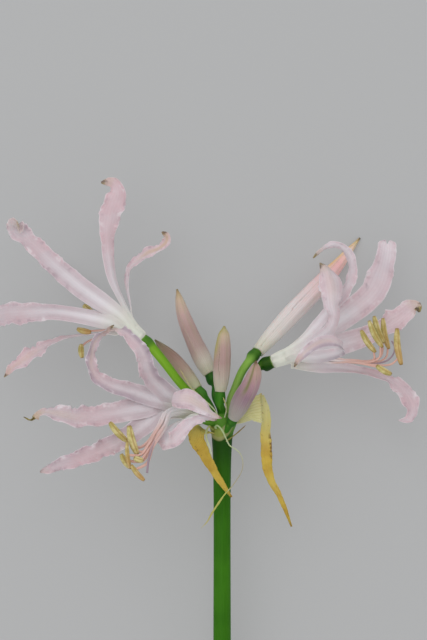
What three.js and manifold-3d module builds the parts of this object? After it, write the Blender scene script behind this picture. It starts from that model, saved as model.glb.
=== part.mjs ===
// A cut stem of sofie nerine, laid on a table: a leafless scape that carries an umbel of three open
// blooms, one bloom about to open and four closed buds, with two withered spathe valves below it.
// The flower is drawn in its own frame, upright: X to the right, Y up the scape, Z to the front, with
// Y = 0 close under the heads of the pedicels. One group then lays it down on its back.
import * as THREE from "three";
import { mergeVertices } from "three/addons/utils/BufferGeometryUtils.js";
import Module from "manifold-3d";

// Driving dimensions, in millimetres and degrees.
const layDownAngle = 4.8; // the scape slopes by this much, because the umbel is thicker than the scape
const floorLevel = -28.45; // the table, measured square to itself from the frame's origin
const gap = 0.3; // clear distance between two pieces that touch on the real flower

const scapeRadius = 3.5;
const scapeAxisX = 0.44;
const scapeCutY = -300;
const receptacleRadius = 5.4;
const receptacleTopY = -0.6;

const pedicelRadius = 1.4;
const pedicelRing = 3.65; // the ring of pedicels on the receptacle
const pedicelRootY = -3;
const ovaryRadius = 2.5;
const ovaryLength = 5;

const tepalThickness = 0.7; // thin in life; this is the least that still counts as a solid blade
const midribThickness = 0.9;
const tepalStations = 25;
const tipRound = 0.04; // the last share of a tepal's length, over which its tip rounds off
const frillLength = 8.6; // from one crest of a tepal's frilled edge to the next
const frillHeight = 1.1;
const throatRadius = 2.7; // ring on which the six tepals stand
const clawCurve = 3.6; // radius of the hollow across a tepal's claw
const footHeight = 1.6; // the short fused foot of a bloom

const filamentRadius = 0.45;
const filamentRing = 1; // the six filaments stand round the style
const antherRadius = 1.4;
const styleFootRadius = 1.45;
const styleFootHeight = 1.4;
const bracteoleRadius = 0.38;
const spatheThickness = 0.65;

const tepalColour = "#e6d3da";
const filamentColour = "#e2a79c";
const budColour = "#c3a0a3";
const openingBudColour = "#e3cccd";
const scapeColour = "#2c6a1c";
const pedicelColour = "#4c8a22";
const goldenSpatheColour = "#c2a544";
const paleSpatheColour = "#c3bf86";
const bracteoleColour = "#b9c196";

const wasm = await Module();
wasm.setup();

const vector = (point) => new THREE.Vector3(...point);
const mix = THREE.MathUtils.lerp;
const smooth = THREE.MathUtils.smoothstep;
const radians = THREE.MathUtils.degToRad;
const upward = new THREE.Vector3(0, 1, 0);

// A solid from a list of points and a list of triangles.
function solidFrom(points, triangles) {
  return new wasm.Manifold(new wasm.Mesh({
    numProp: 3,
    vertProperties: new Float32Array(points.flatMap((p) => [p.x, p.y, p.z])),
    triVerts: new Uint32Array(triangles.flat()),
  }));
}

// A solid from a closed geometry whose seams still have double points.
function solidOf(geometry) {
  geometry.deleteAttribute("normal");
  geometry.deleteAttribute("uv");
  const merged = mergeVertices(geometry, 1e-4);
  return new wasm.Manifold(new wasm.Mesh({
    numProp: 3,
    vertProperties: merged.attributes.position.array,
    triVerts: new Uint32Array(merged.index.array),
  }));
}

function geometryOf(solid) {
  const mesh = solid.getMesh();
  const geometry = new THREE.BufferGeometry();
  geometry.setAttribute("position", new THREE.BufferAttribute(mesh.vertProperties, mesh.numProp));
  geometry.setIndex(new THREE.BufferAttribute(mesh.triVerts, 1));
  geometry.computeVertexNormals();
  return geometry;
}

// Frames along a curve that turn as little as they can. Each has a place, a tangent, a normal that
// starts out as near as it can to the direction given, and the side direction normal x tangent.
function framesAlong(curve, count, firstNormal) {
  const frames = [];
  for (let i = 0; i < count; i++) {
    const t = i / (count - 1);
    frames.push({ t, place: curve.getPointAt(t), tangent: curve.getTangentAt(t) });
  }
  const start = frames[0].tangent;
  let normal = firstNormal.clone().addScaledVector(start, -firstNormal.dot(start)).normalize();
  frames.forEach((frame, i) => {
    if (i) {
      const before = frames[i - 1];
      const step = frame.place.clone().sub(before.place);
      const size = step.lengthSq();
      const turned = normal.clone().addScaledVector(step, (-2 * step.dot(normal)) / size);
      const ahead = before.tangent.clone().addScaledVector(step, (-2 * step.dot(before.tangent)) / size);
      const change = frame.tangent.clone().sub(ahead);
      const weight = change.lengthSq();
      normal = weight < 1e-12 ? turned : turned.addScaledVector(change, (-2 * change.dot(turned)) / weight);
      normal.addScaledVector(frame.tangent, -normal.dot(frame.tangent)).normalize();
    }
    frame.normal = normal.clone();
    frame.side = new THREE.Vector3().crossVectors(normal, frame.tangent);
  });
  return frames;
}

const smoothCurve = (points) => new THREE.CatmullRomCurve3(points, false, "centripetal");

// A value that runs evenly through a short list as t goes from 0 to 1.
function along(list, t) {
  const place = t * (list.length - 1);
  const index = Math.min(Math.floor(place), list.length - 2);
  return mix(list[index], list[index + 1], place - index);
}

// The same for a list of directions.
function turning(list, t) {
  const place = t * (list.length - 1);
  const index = Math.max(Math.min(Math.floor(place), list.length - 2), 0);
  const next = Math.min(index + 1, list.length - 1);
  return vector(list[index]).normalize().lerp(vector(list[next]).normalize(), place - index).normalize();
}

// Turns a frame about its tangent until its normal looks the way given.
function face(frame, look) {
  frame.normal = look.clone().addScaledVector(frame.tangent, -look.dot(frame.tangent)).normalize();
  frame.side = new THREE.Vector3().crossVectors(frame.normal, frame.tangent);
}

// A tube of round or lobed section. radiusAt gives the radius at a frame and an angle.
function tube(frames, sides, radiusAt) {
  const points = [];
  const triangles = [];
  frames.forEach((frame) => {
    for (let k = 0; k < sides; k++) {
      const angle = (k / sides) * 2 * Math.PI;
      const radius = radiusAt(frame.t, angle);
      points.push(frame.place.clone()
        .addScaledVector(frame.normal, radius * Math.cos(angle))
        .addScaledVector(frame.side, -radius * Math.sin(angle)));
    }
  });
  for (let i = 0; i < frames.length - 1; i++) {
    for (let k = 0; k < sides; k++) {
      const here = i * sides + k;
      const beside = i * sides + ((k + 1) % sides);
      triangles.push([here, beside, beside + sides], [here, beside + sides, here + sides]);
    }
  }
  const last = (frames.length - 1) * sides;
  for (let k = 1; k < sides - 1; k++) {
    triangles.push([0, k + 1, k], [last, last + k, last + k + 1]);
  }
  return solidFrom(points, triangles);
}

// A thin blade with two margins and a midrib. placeAt gives the point of its middle surface at a
// frame and a position across, -1, 0 or 1. Both faces are split into triangles in the same way.
function blade(frames, placeAt, thicknessAt) {
  const across = [-1, 0, 1];
  const middle = frames.map((frame) => across.map((s) => placeAt(frame, s)));
  const upper = [];
  const lower = [];
  middle.forEach((row, i) => {
    const ahead = middle[Math.min(i + 1, middle.length - 1)];
    const behind = middle[Math.max(i - 1, 0)];
    row.forEach((point, j) => {
      const down = ahead[j].clone().sub(behind[j]);
      const over = row[Math.min(j + 1, 2)].clone().sub(row[Math.max(j - 1, 0)]);
      const normal = down.cross(over).normalize();
      const half = thicknessAt(frames[i].t, across[j]) / 2;
      upper.push(point.clone().addScaledVector(normal, half));
      lower.push(point.clone().addScaledVector(normal, -half));
    });
  });
  const triangles = [];
  const under = upper.length;
  const quad = (a, b, c, d) => triangles.push([a, b, c], [a, c, d]);
  for (let i = 0; i < frames.length - 1; i++) {
    const row = i * 3;
    for (let j = 0; j < 2; j++) {
      const a = row + j;
      quad(a, a + 3, a + 4, a + 1);
      triangles.push([a + under, a + 4 + under, a + 3 + under], [a + under, a + 1 + under, a + 4 + under]);
    }
    quad(row, row + under, row + 3 + under, row + 3);
    quad(row + 2, row + 5, row + 5 + under, row + 2 + under);
  }
  const last = (frames.length - 1) * 3;
  for (let j = 0; j < 2; j++) {
    quad(j, j + 1, j + 1 + under, j + under);
    quad(last + j, last + j + under, last + j + 1 + under, last + j + 1);
  }
  return solidFrom([...upper, ...lower], triangles);
}

// The direction that leaves a bloom's axis at an angle around it, counted from its top towards the
// front, or from its right towards its top where the bloom itself looks to the front.
function aroundAxis(axis, degrees) {
  const front = new THREE.Vector3(0, 0, 1);
  const looksFront = Math.abs(axis.z) > 0.6;
  const first = looksFront ? new THREE.Vector3(1, 0, 0) : new THREE.Vector3().crossVectors(front, axis);
  const u = first.addScaledVector(axis, -first.dot(axis)).normalize();
  if (!looksFront && u.y < 0) u.negate();
  const v = (looksFront ? upward : front).clone();
  v.addScaledVector(axis, -v.dot(axis)).addScaledVector(u, -v.dot(u)).normalize();
  return u.multiplyScalar(Math.cos(radians(degrees))).addScaledVector(v, Math.sin(radians(degrees)));
}

// Half the width of a tepal on one side: its widths run evenly from the claw to the tip, and a lobe
// has a place, a side, a rise and a reach.
function tepalHalf(t, s, shape) {
  let half = along(shape.widths, t) / 2;
  for (const [place, side, rise, reach] of shape.lobes ?? []) {
    if (s * side > 0) half += rise * Math.exp(-(((t - place) / reach) ** 2));
  }
  const round = shape.tipRound ?? tipRound;
  const closing = Math.max(t - 1 + round, 0) / round;
  return half * Math.sqrt(Math.max(1 - closing ** 2, 0.12));
}

function tepal(bloom, shape) {
  const base = vector(bloom.base);
  const axis = vector(bloom.axis).normalize();
  const out = aroundAxis(axis, shape.around);
  const start = base.clone().addScaledVector(axis, 0.5).addScaledVector(out, throatRadius - 0.2);
  const spread = throatRadius + bloom.flare;
  const claw = base.clone().addScaledVector(axis, bloom.claw).addScaledVector(out, spread);
  const curve = smoothCurve([start, claw, ...shape.path.map(vector)]);
  const inward = out.clone().negate();
  const frames = framesAlong(curve, tepalStations, inward);
  frames.forEach((frame) => {
    const look = turning(shape.facing, (Math.max(frame.t, 0.3) - 0.3) / 0.7);
    face(frame, inward.clone().lerp(look, smooth(frame.t, 0.06, 0.34)).normalize());
  });
  const length = curve.getLength();
  const frill = shape.frill ?? 1;
  const calm = shape.calm ?? 0.22; // the frills begin past this share of the length
  return blade(frames, (frame, s) => {
    const t = frame.t;
    const phase = (2 * Math.PI * t * length) / frillLength + (s > 0 ? 2.2 : 0) + shape.around;
    const swell = 0.75 + 0.25 * Math.sin(0.41 * phase + shape.around);
    const wave = frill * swell * smooth(t, calm, calm + 0.28) * (1 - smooth(t, 0.93, 1));
    const half = tepalHalf(t, s, shape) * (1 + 0.08 * wave * Math.cos(phase));
    const cup = (shape.cup ?? 0.16) * half * Math.abs(s) * smooth(t, 0.1, 0.5);
    const throat = ((s * half) ** 2 / (2 * clawCurve)) * (1 - smooth(t, 0.06, 0.3));
    const height = cup + throat + s * s * frillHeight * wave * Math.sin(phase);
    const notch = s ? 0 : (shape.notch ?? 0) * smooth(t, 0.9, 1);
    return frame.place.clone()
      .addScaledVector(frame.side, half * s)
      .addScaledVector(frame.normal, height)
      .addScaledVector(frame.tangent, -notch);
  }, (t, s) => (s ? tepalThickness : mix(midribThickness, tepalThickness, t)));
}

// The fused foot of a bloom, a low dome on top of the ovary.
function foot(bloom) {
  const radius = throatRadius + 0.1;
  const profile = [[0, 0], [radius - 0.5, 0], [radius, 0.6], [radius, footHeight], [0, footHeight]];
  const lathe = new THREE.LatheGeometry(profile.map(([r, y]) => new THREE.Vector2(r, y)), 16);
  lathe.applyQuaternion(new THREE.Quaternion().setFromUnitVectors(upward, vector(bloom.axis).normalize()));
  lathe.translate(...bloom.base);
  return solidOf(lathe);
}

// All six tepals on their foot, in one body: a pocket that neighbouring tepals close off is filled.
function perianth(bloom) {
  const joined = bloom.tepals.reduce((whole, shape) => whole.add(tepal(bloom, shape)), foot(bloom));
  return joined.decompose().reduce((largest, body) => (body.volume() > largest.volume() ? body : largest));
}

// Six filaments with anthers that swing on their tips, and one style, joined in the throat. They run
// side by side through the bundle's points before each goes its own way.
function stamens(bloom) {
  const axis = vector(bloom.axis).normalize();
  const base = vector(bloom.base).addScaledVector(axis, footHeight + gap);
  const strand = filamentRadius * (bloom.strand ?? 1);
  const disc = new THREE.CylinderGeometry(styleFootRadius, styleFootRadius, styleFootHeight, 10);
  disc.translate(0, styleFootHeight / 2, 0);
  disc.applyQuaternion(new THREE.Quaternion().setFromUnitVectors(upward, axis));
  disc.translate(...base.toArray());
  const stalk = (ring, degrees, path, radiusAt) => {
    const aside = aroundAxis(axis, degrees).multiplyScalar(ring);
    const rise = (height) => base.clone().addScaledVector(axis, height).add(aside);
    const bundle = bloom.bundle.map((point, i) => vector(point).addScaledVector(aside, bloom.spread[i]));
    const curve = smoothCurve([rise(styleFootHeight / 2), rise(4), ...bundle, ...path]);
    return tube(framesAlong(curve, 9, aroundAxis(axis, degrees)), 4, radiusAt);
  };
  const taper = (t) => strand * mix(1.1, 0.9, t);
  let whole = solidOf(disc);
  bloom.stamens.forEach((shape, i) => {
    const [from, to] = shape.anther.map(vector);
    const joint = from.clone().lerp(to, shape.hungAt ?? 0.5);
    whole = whole.add(stalk(filamentRing, 60 * i + 30, [...shape.path.map(vector), joint], taper));
    const line = smoothCurve([from, from.clone().lerp(to, 0.5), to]);
    const frames = framesAlong(line, 5, new THREE.Vector3(0.3, 0.2, 1));
    const girth = antherRadius * (shape.girth ?? 1);
    const round = (t) => girth * (0.45 + 0.55 * Math.sin(Math.PI * t) ** 0.5);
    whole = whole.add(tube(frames, 5, round));
  });
  return whole.add(stalk(0, 0, bloom.style.map(vector), () => strand * 0.8));
}

// A pedicel from its root in the receptacle to the flat top of its ovary.
function pedicel(shape, head) {
  const first = vector(head.base ?? head.path[0]);
  const axis = (head.axis ? vector(head.axis) : vector(head.path[1]).sub(first)).normalize();
  const end = first.clone().addScaledVector(axis, -gap);
  const length = shape.ovaryLength ?? ovaryLength;
  const below = (distance) => end.clone().addScaledVector(axis, -distance);
  const points = [...shape.path.map(vector), below(length), below(length / 2), end];
  const curve = smoothCurve(points);
  const whole = curve.getLength();
  const frames = framesAlong(curve, 12, new THREE.Vector3(0.2, 0.1, 1));
  const swell = shape.ovary ?? ovaryRadius;
  return tube(frames, 8, (t) => {
    const toEnd = (1 - t) * whole;
    const ovary = smooth(length + 1 - toEnd, 0, length * 0.6);
    const neck = smooth(length - toEnd, length * 0.5, length);
    return mix(mix(shape.thin ?? pedicelRadius, shape.thick ?? 1.6, t), swell, ovary) * mix(1, 0.86, neck);
  });
}

// A closed bud: six tepals folded together into a ribbed spindle with a short beak.
function bud(shape) {
  const frames = framesAlong(smoothCurve(shape.path.map(vector)), 12, new THREE.Vector3(0.1, 0.1, 1));
  const profile = shape.profile ?? [0.66, 0.84, 0.94, 1, 1, 0.97, 0.86, 0.66, 0.4, 0.14];
  return tube(frames, 12, (t, angle) => {
    const ribs = 0.045 * smooth(t, 0.05, 0.3) * Math.cos(3 * angle);
    return shape.radius * along(profile, t) * (1 + ribs);
  });
}

// A dry papery blade, with its width and the way it looks given at even steps.
function strip(shape) {
  const frames = framesAlong(smoothCurve(shape.path.map(vector)), shape.stations, vector(shape.facing[0]));
  frames.forEach((frame) => face(frame, turning(shape.facing, frame.t)));
  return blade(frames, (frame, s) => {
    const half = along(shape.widths, frame.t) / 2;
    const crinkle = shape.crinkle * Math.sin(frame.t * 19 + s) * Math.abs(s);
    return frame.place.clone().addScaledVector(frame.side, half * s)
      .addScaledVector(frame.normal, half * Math.abs(s) * shape.cup + crinkle);
  }, () => spatheThickness);
}

function thread(path) {
  const stations = Math.max(7, path.length);
  const frames = framesAlong(smoothCurve(path.map(vector)), stations, new THREE.Vector3(0.3, 0, 1));
  return tube(frames, 5, (t) => bracteoleRadius * mix(1.25, 0.9, t));
}

// The scape and the receptacle at its head, turned as one piece, as large as it is or a little larger.
function scape(extra) {
  const neck = scapeRadius + 0.45;
  const profile = [
    [0, scapeCutY - extra], [scapeRadius + 0.1, scapeCutY - extra], [scapeRadius + 0.05, -200],
    [scapeRadius, -100], [scapeRadius, -26], [neck, -13], [receptacleRadius - 0.9, -8],
    [receptacleRadius, -5.4], [receptacleRadius, receptacleTopY - 2.6],
    [receptacleRadius - 0.7, receptacleTopY - 1.1], [receptacleRadius * 0.6, receptacleTopY - 0.2],
    [0, receptacleTopY],
  ];
  const rim = ([r, y]) => new THREE.Vector2(r ? r + extra : 0, y > pedicelRootY ? y + extra : y);
  const lathe = new THREE.LatheGeometry(profile.map(rim), 18);
  lathe.translate(scapeAxisX, 0, 0);
  return solidOf(lathe);
}

// Where a pedicel is rooted inside the receptacle, by its bearing seen down the scape.
function root(bearing) {
  const angle = radians(bearing);
  return [scapeAxisX + pedicelRing * Math.cos(angle), pedicelRootY, pedicelRing * Math.sin(angle)];
}

// Upper left bloom. Its tepals spread like a fan to the left, and one hangs to the table behind.
const upperLeft = {
  base: [-31.5, 29.6, 4],
  axis: [-0.73, 0.68, 0.08],
  claw: 6,
  flare: 0.2,
  bundle: [[-38.4, 35.4, 4.4]],
  spread: [1.15],
  tepals: [
    { around: 90, widths: [3.6, 4.6, 6.2, 7.6, 8.1, 8.2, 7.9, 7.6, 7.2, 7.2, 4.6], calm: 0.4, frill: 0.9,
      cup: 0.2, lobes: [[0.95, 1, 1.7, 0.026], [0.9, -1, 0.6, 0.03]],
      facing: [[0, 0, -1], [0, 0.1, -1], [0.2, 0.3, -1]],
      path: [[-40.9, 39.2, 9], [-48, 44.3, 11], [-55.4, 49.5, 12.5], [-65.1, 57.8, 13.5],
        [-75.2, 67.5, 13], [-80, 72, 13], [-82, 74.2, 15], [-79.8, 74.4, 18]] },
    { around: 25, widths: [3.3, 3.5, 4.2, 5, 5.4, 5.5, 5.9, 8.2, 9.2, 5.6, 2], calm: 0.44, frill: 0.8,
      facing: [[-0.8, -0.3, -0.5], [-0.5, 0, -0.9], [0, 0, -1], [0, 0.3, -1]],
      path: [[-39.5, 44.4, 2], [-43, 52.4, 1.5], [-44.5, 60, 2], [-45.1, 68.7, 3], [-44.7, 75.9, 4],
        [-42.9, 82.6, 4.5], [-41.2, 87.8, 5], [-43, 91.4, 5], [-47.8, 91.6, 5]] },
    { around: 325, widths: [3.3, 3.3, 3.1, 3, 3.2, 4.2, 5.4, 5.6, 4.6, 3.6, 2], calm: 0.4, frill: 0.6,
      facing: [[-1, -0.3, 0.2], [-0.9, 0.2, 0.5], [-0.4, 0.6, 0.8], [0, 0.4, 1]],
      path: [[-36.5, 43.6, -5], [-37.7, 52.5, -9], [-36.9, 57.2, -11], [-34.3, 60.2, -13],
        [-29.5, 63.9, -14], [-25, 65.7, -14], [-22.2, 68.3, -14], [-21.9, 70.6, -14],
        [-23.8, 72.4, -13]] },
    { around: 140, widths: [3.6, 4.6, 6.2, 7, 6.9, 6.9, 8, 9.2, 8.6, 6.6, 2], calm: 0.46, frill: 1.1,
      facing: [[0, -0.5, -1], [0, -0.5, -1], [0, -0.2, -1], [0, 0, -1]],
      path: [[-43.3, 35.4, 9], [-51.9, 37.8, 11], [-60.2, 39.4, 12], [-67.7, 40.2, 12], [-77.7, 39.8, 11],
        [-85.8, 39.2, 9], [-93.8, 37.6, 8], [-100.5, 34.8, 8]] },
    { around: 205, widths: [3.3, 3.6, 4.4, 5, 5.4, 5.6, 6.4, 7.8, 6.8, 4.2, 1], calm: 0.46,
      facing: [[-0.1, 1, 0.05], [-0.1, 1, 0.12], [-0.15, 0.9, 0.5], [-0.2, 0.5, 1], [-0.2, 0.4, 1]],
      path: [[-41.1, 31.2, 2], [-48.7, 31.4, 3], [-56.6, 30.6, 4], [-64.9, 28.8, 5], [-69.7, 26.4, 5],
        [-74.5, 23.6, 4.5], [-79.3, 20.5, 4], [-83.4, 17.6, 3], [-86.6, 14, 2.5]] },
    { around: 270, widths: [3.3, 3.8, 4.6, 5.2, 5.6, 5.8, 5.8, 5.6, 5, 3.6, 1.4], frill: 0.6,
      facing: [[0, 0, 1]],
      path: [[-40, 37.5, -8], [-50, 45.5, -20], [-59, 52.5, -29], [-69, 60, -33], [-77, 66, -34.4]] },
  ],
  stamens: [
    { path: [[-42.4, 38.2, 4]], anther: [[-51.6, 45.2, 3], [-46.6, 41.6, 3]], hungAt: 0.8 },
    { path: [[-42, 36, 4], [-48.3, 38.4, 3]], anther: [[-54.9, 42.9, 3], [-51.3, 40, 3]], hungAt: 0.8 },
    { path: [[-42, 33, 4], [-46.6, 32.7, 6.4]], anther: [[-57.3, 33.3, 7.6], [-51.6, 32, 7.6]],
      hungAt: 0.7 },
    { path: [[-40.4, 33.4, 0.4], [-43.6, 32, -2.4], [-49.2, 30, -4], [-54.6, 27.4, -3.4]],
      anther: [[-56, 27.2, -2.4], [-55.6, 21.6, -2]], hungAt: 0.3 },
    { path: [[-42, 35.6, 2], [-49, 37, 1]], anther: [[-59.4, 40.2, 3], [-54.2, 38.4, 3]], hungAt: 0.8 },
    { path: [[-42, 37.6, 1.6], [-46, 41.4, 0]], anther: [[-54.8, 47.4, -1], [-50.6, 44, -1]],
      hungAt: 0.8 },
  ],
  style: [[-44, 35.6, 3.4], [-58, 37.6, 2], [-66, 39, 4]],
};

// Lower left bloom. It faces the front, and two of its tepals roll back across the umbel.
const lowerLeft = {
  base: [-9.5, -1.5, 10],
  axis: [-0.48, 0.3, 0.82],
  claw: 8,
  flare: 0.9,
  bundle: [[-20.6, 0.3, 28.6], [-23.4, -5.2, 37.2]],
  spread: [1.3, 1.75],
  strand: 1.3,
  tepals: [
    { around: 150, widths: [3.8, 5.2, 7, 7.8, 7.4, 6.4, 5.6, 4.8, 4, 3, 1.2], calm: 0.34, frill: 0.9,
      facing: [[0.3, 0.3, 1], [0.6, 0, 1], [0.6, -0.2, 1], [0.4, -0.6, 1]],
      path: [[-23.2, 5.4, 24], [-28.6, 6.9, 27], [-34, 8.7, 30], [-39, 10.3, 32], [-44, 11.9, 33],
        [-48.5, 15, 33.5], [-50.7, 18.9, 33], [-50.5, 23.2, 32], [-49.8, 27.1, 30.5], [-47.5, 30.6, 29],
        [-44.2, 33.1, 27.5], [-41.9, 34.8, 26.5]] },
    { around: 90, widths: [3.8, 5.2, 6.8, 7.6, 7.8, 7.6, 7, 6, 5, 3.4, 1.2], calm: 0.36, frill: 1.1,
      facing: [[0.3, -0.6, 0.8], [-0.2, -0.2, 1], [0, 0.2, 1], [0.2, 0.6, 0.7]],
      path: [[-20.4, 7.6, 25], [-23.4, 10.4, 29.5], [-26.2, 13.4, 34], [-28.4, 17.4, 39],
        [-29.6, 22.1, 43], [-31.9, 26.4, 45], [-35, 29.9, 44], [-38.5, 32.6, 41], [-42.7, 33.7, 37]] },
    { around: 190, widths: [3.8, 5.4, 7.4, 8.6, 9.2, 8.8, 8.6, 8.4, 7, 2.8, 0.9], calm: 0.4, frill: 1.1,
      facing: [[0, 0.2, 1], [0, 0.3, 1], [0, 0.5, 1], [0.2, 1, 0.6]],
      path: [[-24.8, 3.9, 24], [-29.8, 2.8, 27], [-35.6, 1.7, 29], [-43.3, 0.2, 31], [-51.1, -1, 32],
        [-57.7, -0.9, 33], [-63.5, 0.4, 33.5], [-68.5, 0.8, 33], [-72.2, -0.4, 32.4], [-74.4, -2.1, 31.6],
        [-76.9, -0.9, 31]] },
    { around: 235, widths: [3.8, 5.4, 7.2, 8.2, 8.4, 7.8, 7.4, 7, 6.2, 4.6, 1.8], calm: 0.36, frill: 1.3,
      facing: [[0.1, 0.3, 1], [0, 0, 1], [0, 0, 1]],
      path: [[-24.7, 0.8, 25], [-29.4, -3.4, 28.5], [-35.5, -7.8, 32], [-42, -11.4, 35],
        [-48.9, -14.4, 37], [-55.9, -17, 38], [-62.5, -19.2, 38], [-67.5, -21.2, 37],
        [-70.3, -22.2, 36]] },
    { around: 30, widths: [3.6, 4.2, 4.6, 4.8, 4.8, 4.9, 6.2, 8.4, 7.2, 4, 1.2], calm: 0.5, frill: 0.2,
      cup: -0.22, facing: [[-1, 0, 0.3], [-0.8, 0.2, 0.8], [0, 0.5, 1], [0.4, 0.6, 0.7]],
      path: [[-14.1, 5, 25], [-18, 5.6, 34], [-19, 6.3, 42], [-16.8, 6.8, 48], [-12.5, 6.7, 50.5],
        [-7.6, 3.9, 50], [-3.4, 0.8, 48], [0.3, -0.9, 45]] },
    { around: 300, widths: [3.6, 4.2, 4.6, 5.4, 6.8, 7.6, 6.8, 5.6, 4.2, 2.6, 1.2], calm: 0.34,
      frill: 0.9, facing: [[-0.3, 0.8, 0.3], [-0.5, 0.3, 0.8], [0, -0.2, 1], [0.2, -0.2, 1]],
      path: [[-17, -3.5, 25], [-20, -6.5, 31], [-21.2, -8.6, 37], [-20.4, -10, 43], [-18, -9, 47.5],
        [-15.2, -5.6, 50], [-12, -2.6, 51], [-8.6, -1, 50], [-4.7, -0.9, 47], [-1.7, -1.8, 43]] },
  ],
  stamens: [
    { path: [[-27, -11.9, 45]], anther: [[-33.5, -16, 49.5], [-29.9, -17.2, 48.5]], hungAt: 0.8 },
    { path: [[-28.2, -11.1, 43], [-30.2, -14, 44.5]],
      anther: [[-35.5, -3.8, 45], [-32.3, -15, 45]], hungAt: 0.85, girth: 1.25 },
    { path: [[-28.6, -10.5, 41.4], [-31.8, -12.4, 42.5]],
      anther: [[-43.1, -2.6, 42], [-36.2, -10.1, 42]], hungAt: 0.85, girth: 1.1 },
    { path: [[-28.1, -11.3, 45.2], [-31, -15.1, 46.8]],
      anther: [[-36.2, -9.7, 47], [-34.9, -20.5, 47]], girth: 0.7 },
    { path: [[-27.2, -11.8, 42.4], [-30, -17.3, 44]], anther: [[-38.6, -14.8, 44], [-35.2, -20.2, 44]] },
    { path: [[-26.4, -12.3, 45], [-28.6, -18.3, 48]],
      anther: [[-34.6, -18.8, 49], [-29.5, -24.8, 49]], hungAt: 0.3, girth: 0.85 },
  ],
  style: [[-26.7, -12.1, 46], [-28, -17.6, 50.6], [-28.4, -21.7, 52]],
};

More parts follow.
